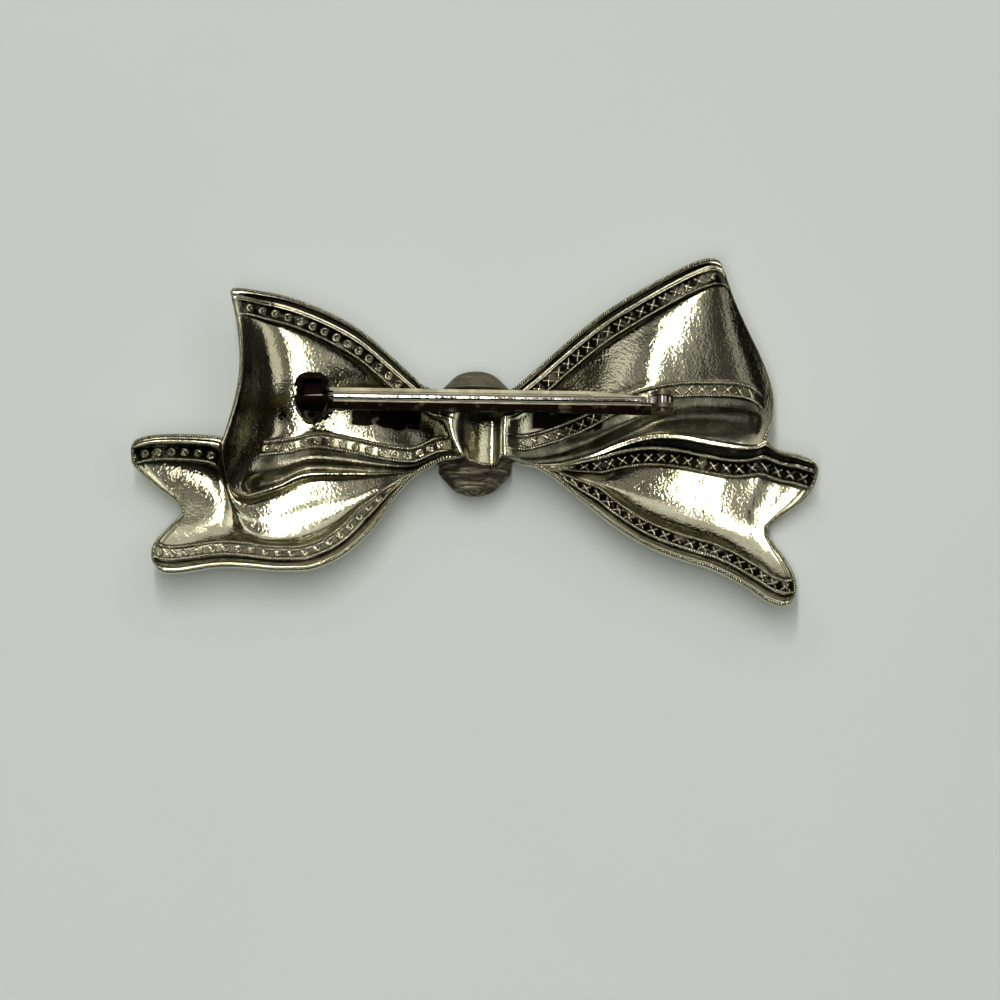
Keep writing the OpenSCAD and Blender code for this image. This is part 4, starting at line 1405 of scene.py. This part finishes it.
    def borders(self, patches: dict[str, Patch], figures: Figures) -> tuple[list[Mesh], list[Mesh]]:
        """Beaded lines and motif rows of every border.

        Args:
            patches: the patches by name.
            figures: the struck figures.

        Returns:
            The beaded lines, and the motif rows.
        """
        s = self.sizes
        beads, motifs = [], []
        for name, border, first, last in SPANS:
            patch = patches[name]
            at = np.arange(len(patch.a)) / self.steps
            keep = (at >= first) & (at <= last)
            pair = patch.lines[:, 2 * border : 2 * border + 2]
            beaded = (1,) if border == 0 and patch.first_w > s.line_w else (0, 1)
            for k in beaded:
                line = self.ribbon(patch, pair[:, k], s.line_w, keep, figures.bead_pitch / figures.bead_points)
                beads.append(line.relief(figures.beads, self.bead_cols))
            row = self.ribbon(patch, pair.sum(1) / 2, s.motif_w - s.motif_inset, keep, self.motif_step)
            figure = figures.crosses if row.middle[0, 0] > 0 else figures.crescents
            points, faces, shade_and_grime = row.relief(figure, self.motif_cols)
            # The figures' painted shade, scaled by how dark the border's ground is painted
            motifs.append((points, faces, shade_and_grime * patch.grounds[border]))
        return beads, motifs

    def rims(self, backs: dict[str, Array], figures: Figures) -> list[Mesh]:
        """Milled cords along the outline.

        Args:
            backs: points of each patch's back.
            figures: the struck figures.

        Returns:
            The cords.
        """
        grids = {name: (back, np.gradient(back, axis=0), np.gradient(back, axis=1)) for name, back in backs.items()}
        back, u, v = grids["loops"]
        waist = slice(WAIST_FROM * self.steps, WAIST_TO * self.steps + 1)
        runs = [(back[:, 0], v[:, 0]), (back[0], u[0]), (back[-1], -u[-1]), (back[waist, -1], -v[waist, -1])]
        for half in (LEFT, RIGHT):
            back, u, v = grids[half.name]
            free = slice((len(half.inner) - 1) * self.steps, None)
            runs += [(back[:, -1], -v[:, -1]), (back[-1], -u[-1]), (back[free, 0], v[free, 0])]
        return [figures.milled(line, inward) for line, inward in runs]

    def build(self, finishes: Finishes) -> None:
        """Builds the sheet, its milled rims, beaded lines and motif rows.

        Args:
            finishes: the brooch's metals.
        """
        patches = {patch.name: patch for patch in (self.strip(), self.tail(LEFT), self.tail(RIGHT))}
        shapes, backs = {}, {}
        for name, patch in patches.items():
            at = self.columns(patch)
            backs[name] = patch.points(at, self.sizes)
            shapes[name] = self.body_mesh(patch, at, backs[name])
        figures = Figures(self.sizes.motif_w)
        beads, motifs = self.borders(patches, figures)
        half = len(beads) // 2
        shapes["beaded_lines"], shapes["beaded_lines_2"] = joined(beads[:half]), joined(beads[half:])
        shapes["motif_rows"], shapes["milled_rims"] = joined(motifs), joined(self.rims(backs, figures))
        for name, shape in shapes.items():
            hand_over(make_mesh(name, shape), finishes.bow, Body.BROOCH, "bow_shell")


# ---- the knot ------------------------------------------------------------------------------------------------------


@dataclass(frozen=True)
class Knot:
    """The ribbed knot that shows above and below the waist.

    rates are how often its creases, small creases and fine roughness change, along X and Y, and bow curves its creases.
    """

    width: float = 8.1
    length: float = 12.9
    mid_z: float = 2.6
    top_z: float = 4.4
    pleat_h: float = 0.12
    pleat_pitch: float = 2.1
    at_y: float = 0.35
    end_r: float = 4.05
    squareness: float = 0.8
    recess_z: float = 2.112
    recess_low: float = -3.7
    recess_high: float = 4.4
    recess_slope: float = 0.6
    rates: tuple[tuple[float, float], ...] = ((1.6, 2.6), (4.1, 4.6), (11, 9))
    bow: float = 0.9
    crease_h: float = 0.16
    small_h: float = 0.08
    fine_h: float = 0.025
    recess_crease_h: float = 0.22
    recess_small_h: float = 0.12
    deepest_wrinkle: float = 0.3
    wrinkled_from: float = -3.0
    calm_north: float = 0.35
    # Darkest painted shade in the creases
    most_crease_shade: float = 0.8
    rings: int = 150
    sides: int = 120

    def shape(self) -> Mesh:
        """Points, faces and painted shade of the knot: a pleated dome with fine creases, darker in them, and a recess
        for the waist.

        Returns:
            Points, faces and painted shade.
        """
        half = self.length / 2
        turn = -np.pi / 2 + np.pi * (np.arange(self.rings) + 0.5) / self.rings
        y = half * np.sin(turn) / np.sin(np.pi / 2 - np.pi / 2 / self.rings)
        past = np.clip(np.abs(half * np.sin(turn)) - (half - self.end_r), 0, None) / self.end_r
        size = np.sqrt(1 - past**2)[:, None]
        a = 2 * np.pi * np.arange(self.sides) / self.sides
        ca, sa = np.cos(a), np.sin(a)
        px, pz = (np.sign(c) * np.abs(c) ** self.squareness for c in (ca, sa))
        yy, xx = np.meshgrid(y, ca, indexing="ij")
        (crease_x, crease_y), (small_x, small_y), (fine_x, fine_y) = self.rates
        crease = 1 - np.abs(lattice_noise(xx * crease_x + 9, yy * crease_y + self.bow * xx**2, 21))
        small = 1 - np.abs(lattice_noise(xx * small_x, yy * small_y - xx**2, 8))
        fine = lattice_noise(xx * fine_x, yy * fine_y, 5)
        south = np.where(yy < 0, 1, self.calm_north)
        swell = np.cos(2 * np.pi * yy / self.pleat_pitch) * self.pleat_h * size
        creases = self.crease_h * crease**3 + self.small_h * small**4
        swell = swell - south * creases * size + self.fine_h * south * fine
        rise = np.where(sa > 0, self.top_z - self.mid_z, self.mid_z - self.pleat_h)
        z = self.mid_z + (rise * size + swell) * pz
        past = np.maximum(self.recess_low - (y + self.at_y), y + self.at_y - self.recess_high)
        roof = self.recess_z + (self.top_z - self.recess_z) * ramp(past, self.recess_slope)
        wrinkle = np.clip(self.recess_crease_h * crease**3 + self.recess_small_h * small**3, 0, self.deepest_wrinkle)
        z = np.minimum(z, roof[:, None] - wrinkle * np.clip(self.wrinkled_from - yy, 0, 1))
        x = (self.width / 2 - self.pleat_h) * size * px + swell * ca
        # Painted shade in the creases, on the south side only
        shade_and_grime = np.clip(1.2 * crease**4 + 0.8 * small**5, 0, self.most_crease_shade) * south
        faces = grid_faces(self.rings, self.sides, closed=True)[:, ::-1]
        return np.stack([x, yy + self.at_y, z], -1), faces, shade_and_grime

    def build(self, finishes: Finishes) -> None:
        """Builds the knot in the dull one of the brooch's metals."""
        hand_over(make_mesh("knot", self.shape()), finishes.knot, Body.BROOCH, "knot_cap")


# ---- fittings ------------------------------------------------------------------------------------------------------


@dataclass(frozen=True)
class PinBack:
    """The bar, hinge, pin and catch: the solids with softened edges, with painted shade in their flats and hollows and
    a painted shadow of the pin on the bar.
    """

    edge_w: float = 0.07
    flat_angle: float = 28.0
    catch_end: float = -14.3
    ears_from: float = 17.4
    pin_y: float = 2.65
    # Painted shade on the fittings' flats: the bar north of the pin, the pin's painted shadow south of it, the catch
    # and the ears
    bar_shade: float = 0.3
    pin_shadow: float = 0.9
    catch_shade: float = 0.96
    hinge_shade: float = 0.5

    def softened(self, node: bpy.types.Object, name: str) -> bpy.types.Object:
        """Makes a copy of a solid with narrow rounded edges, which take its second material slot.

        Args:
            node: the solid.
            name: the copy's name.

        Returns:
            The copy.
        """
        made = bpy.data.objects.new(name, node.data.copy())
        made.matrix_world = node.matrix_world
        work = bmesh.new()
        work.from_mesh(made.data)
        whole = work.verts[:] + work.edges[:] + work.faces[:]
        # Split the faces under the pin, so that the bar south of it can take the pin's painted shadow
        under_pin = Vector((0, (self.pin_y - MIDDLE[1]) * MM, 0))
        bmesh.ops.bisect_plane(work, geom=whole, plane_co=under_pin, plane_no=(0, 1, 0))
        work.to_mesh(made.data)
        work.free()
        while len(made.data.materials) < 2:
            made.data.materials.append(None)
        made.data.polygons.foreach_set("material_index", np.zeros(len(made.data.polygons), np.int32))
        bpy.context.scene.collection.objects.link(made)
        bevel = made.modifiers.new("edges", "BEVEL")
        bevel.width = self.edge_w * MM
        bevel.segments = 2
        bevel.limit_method = "ANGLE"
        bevel.angle_limit = math.radians(self.flat_angle)
        bevel.material = 1
        bevel.harden_normals = False
        depsgraph = bpy.context.evaluated_depsgraph_get()
        mesh = bpy.data.meshes.new_from_object(made.evaluated_get(depsgraph))
        made.modifiers.clear()
        made.data = mesh
        mesh.polygons.foreach_set("use_smooth", np.ones(len(mesh.polygons), bool))
        mesh.set_sharp_from_angle(angle=math.radians(self.flat_angle))
        return made

    def darken(self, made: bpy.types.Object, clean: bool) -> None:
        """Writes painted shade on a copy's faces: strong in the catch and, as the pin's painted shadow, on the bar
        south of the pin, weaker on the rest of the bar and the ears, none on its edges.

        Args:
            made: the copy, with its edges in a second material slot.
            clean: whether its faces stay bright.
        """
        mesh = made.data
        count = len(mesh.polygons)
        centre, is_edge = np.zeros(count * 3, np.float32), np.zeros(count, np.int32)
        mesh.polygons.foreach_get("center", centre)
        mesh.polygons.foreach_get("material_index", is_edge)
        matrix = np.array(made.matrix_world)
        x, y, _ = ((centre.reshape(-1, 3) @ matrix[:3, :3].T + matrix[:3, 3]) / MM + MIDDLE).T
        # Painted shade on the flats, most in the catch, with the pin's painted shadow on the bar south of it; edges
        # stay bright
        bar = np.where(y < self.pin_y, self.pin_shadow, self.bar_shade)
        shade_and_dirt = np.where(x < self.catch_end, self.catch_shade, np.where(x > self.ears_from, self.hinge_shade, bar))
        shade_and_dirt = np.where((is_edge > 0) | clean, 0, shade_and_dirt)
        mesh.polygons.foreach_set("material_index", np.zeros(count, np.int32))
        mesh.materials.clear()
        level = mesh.attributes.new("shade_and_grime", "FLOAT", "FACE")
        level.data.foreach_set("value", shade_and_dirt.astype(np.float32))

    def build(self, finishes: Finishes) -> None:
        """Builds the fittings.

        Args:
            finishes: the brooch's metals.
        """
        chosen = {
            "pin_bar": ("bar_and_catch", finishes.fitting, Body.BROOCH, Slot.FITTING),
            "hinge_rivet": ("rivet", finishes.fitting, Body.BROOCH, Slot.FITTING),
            "pin_stem": ("pin_wire", finishes.wire, Body.PIN, Slot.PIN),
            "catch_rotor": ("roller", finishes.fitting, Body.CATCH, Slot.FITTING),
        }
        for stands_for, (name, finish, body, slot) in chosen.items():
            made = self.softened(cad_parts[stands_for], name)
            self.darken(made, finish is finishes.wire)
            hand_over(made, finish, body, stands_for)


# ---- the room ------------------------------------------------------------------------------------------------------


# Soft panels: name, place and size in metres, power in watts
PANELS = (
    ("ceiling_strip", (-0.06, 0.04, 0.8), (0.07, 1.06), 3.5),
    ("north_window", (0.1, 0.9, 0.95), (2.4, 1.0), 3.6),
    ("east_panel", (0.62, 0.05, 0.79), (0.46, 1.3), 1.25),
    ("east_fill", (0.22, 0.05, 0.85), (0.20, 1.3), 0.15),
    ("west_fill", (-0.265, 0.05, 0.85), (0.23, 1.3), 0.26),
    ("west_panel", (-0.78, 0.05, 0.62), (0.2, 1.2), 0.2),
)
# Surroundings: height in the room, tone
ROOM_TONES = (
    (0.25, (0.004, 0.0037, 0.003)), (1.0, (0.06, 0.06, 0.055)), (0.55, (0.025, 0.0245, 0.0225)),
    (0.80, (0.05, 0.049, 0.045)),
)


def placed(right: Array, up: Array, back: Array, spot: Array) -> Matrix:
    """Matrix of an object from its three directions and its place."""
    return Matrix([[right[k], up[k], back[k], spot[k]] for k in range(3)] + [[0, 0, 0, 1]])


@dataclass(frozen=True)
class Studio:
    """Table, lights and camera."""

    turn: float = 0.9
    elevation: float = 77.0
    distance: float = 0.6
    frame_width: float = 0.1
    sensor: float = 36.0
    aim: tuple[float, float, float] = (2.5, -7.084, 5.2)
    table_half: float = 3.0
    table_gap: float = 0.00002
    warmth: Colour = (1.0, 0.985, 0.95)
    north_share: float = 0.35

    def table(self) -> None:
        """Makes the pale surface under the brooch."""
        mesh = bpy.data.meshes.new("tabletop")
        size = self.table_half
        mesh.from_pydata([(-size, -size, 0), (size, -size, 0), (size, size, 0), (-size, size, 0)], [], [(0, 1, 2, 3)])
        mesh.materials.append(Tabletop().build())
        floor = bpy.data.objects.new("tabletop", mesh)
        floor.location.z = -self.table_gap
        bpy.context.scene.collection.objects.link(floor)

    def panel(self, name: str, place: tuple[float, float, float], size: tuple[float, float], power: float) -> None:
        """Adds a soft panel that faces the brooch.

        Args:
            name: the light's name.
            place: where it stands, in metres.
            size: its width and height in metres.
            power: its power in watts.
        """
        lamp = bpy.data.lights.new(name, "AREA")
        lamp.shape = "RECTANGLE"
        lamp.size, lamp.size_y = size
        lamp.energy = power
        lamp.color = self.warmth
        made = bpy.data.objects.new(name, lamp)
        back = unit(np.array(place))
        right = unit(np.cross([0, 1, 0], back))
        made.matrix_world = placed(right, np.cross(back, right), back, np.array(place))
        made.visible_camera = False
        bpy.context.scene.collection.objects.link(made)

    def room(self) -> None:
        """Makes the soft surroundings: bright above and to the north, dark low down to the south."""
        world = bpy.data.worlds.new("room")
        bpy.context.scene.world = world
        nodes = Nodes.of(world)
        parts, ramp_node = nodes.add("ShaderNodeSeparateXYZ"), nodes.add("ShaderNodeValToRGB")
        height = nodes.add("ShaderNodeMath", operation="MULTIPLY_ADD")
        height.inputs[1].default_value = self.north_share
        light = nodes.add("ShaderNodeBackground")
        nodes.link(nodes.add("ShaderNodeTexCoord").outputs["Generated"], parts.inputs[0])
        nodes.link(parts.outputs["Y"], height.inputs[0])
        nodes.link(parts.outputs["Z"], height.inputs[2])
        nodes.link(height.outputs[0], ramp_node.inputs[0])
        nodes.link(ramp_node.outputs[0], light.inputs[0])
        nodes.link(light.outputs[0], nodes.add("ShaderNodeOutputWorld").inputs[0])
        stops = ramp_node.color_ramp.elements
        for k, (spot, tone) in enumerate(ROOM_TONES):
            stop = stops[k] if k < 2 else stops.new(spot)
            stop.position, stop.color = spot, (*tone, 1)

    def camera(self) -> None:
        """Makes the camera at the photograph's angle."""
        a, e = math.radians(self.turn), math.radians(self.elevation)
        right = np.array([math.cos(a), math.sin(a), 0])
        north = np.array([-math.sin(a), math.cos(a), 0])
        above = np.array([0, 0, 1])
        back = above * math.sin(e) - north * math.cos(e)
        up = north * math.sin(e) + above * math.cos(e)
        target = (self.aim[0] * right + self.aim[1] * north + self.aim[2] * above - MIDDLE) * MM
        data = bpy.data.cameras.new("camera")
        data.sensor_width = self.sensor
        data.lens = self.sensor * self.distance / self.frame_width
        data.clip_start, data.clip_end = 0.01, 10
        made = bpy.data.objects.new("camera", data)
        made.matrix_world = placed(right, up, back, target + back * self.distance)
        bpy.context.scene.collection.objects.link(made)
        bpy.context.scene.camera = made

    def build(self) -> None:
        """Makes the table, the lights and the camera."""
        self.table()
        self.room()
        for panel in PANELS:
            self.panel(*panel)
        self.camera()
        bpy.context.scene.view_settings.view_transform = "Standard"


def main() -> None:
    """Builds the brooch and its studio."""
    logging.basicConfig(level=logging.INFO, format="%(name)s %(message)s")
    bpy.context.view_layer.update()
    finishes = Finishes.make()
    BowSheet().build(finishes)
    Knot().build(finishes)
    PinBack().build(finishes)
    Studio().build()


if __name__ == "__main__":
    main()
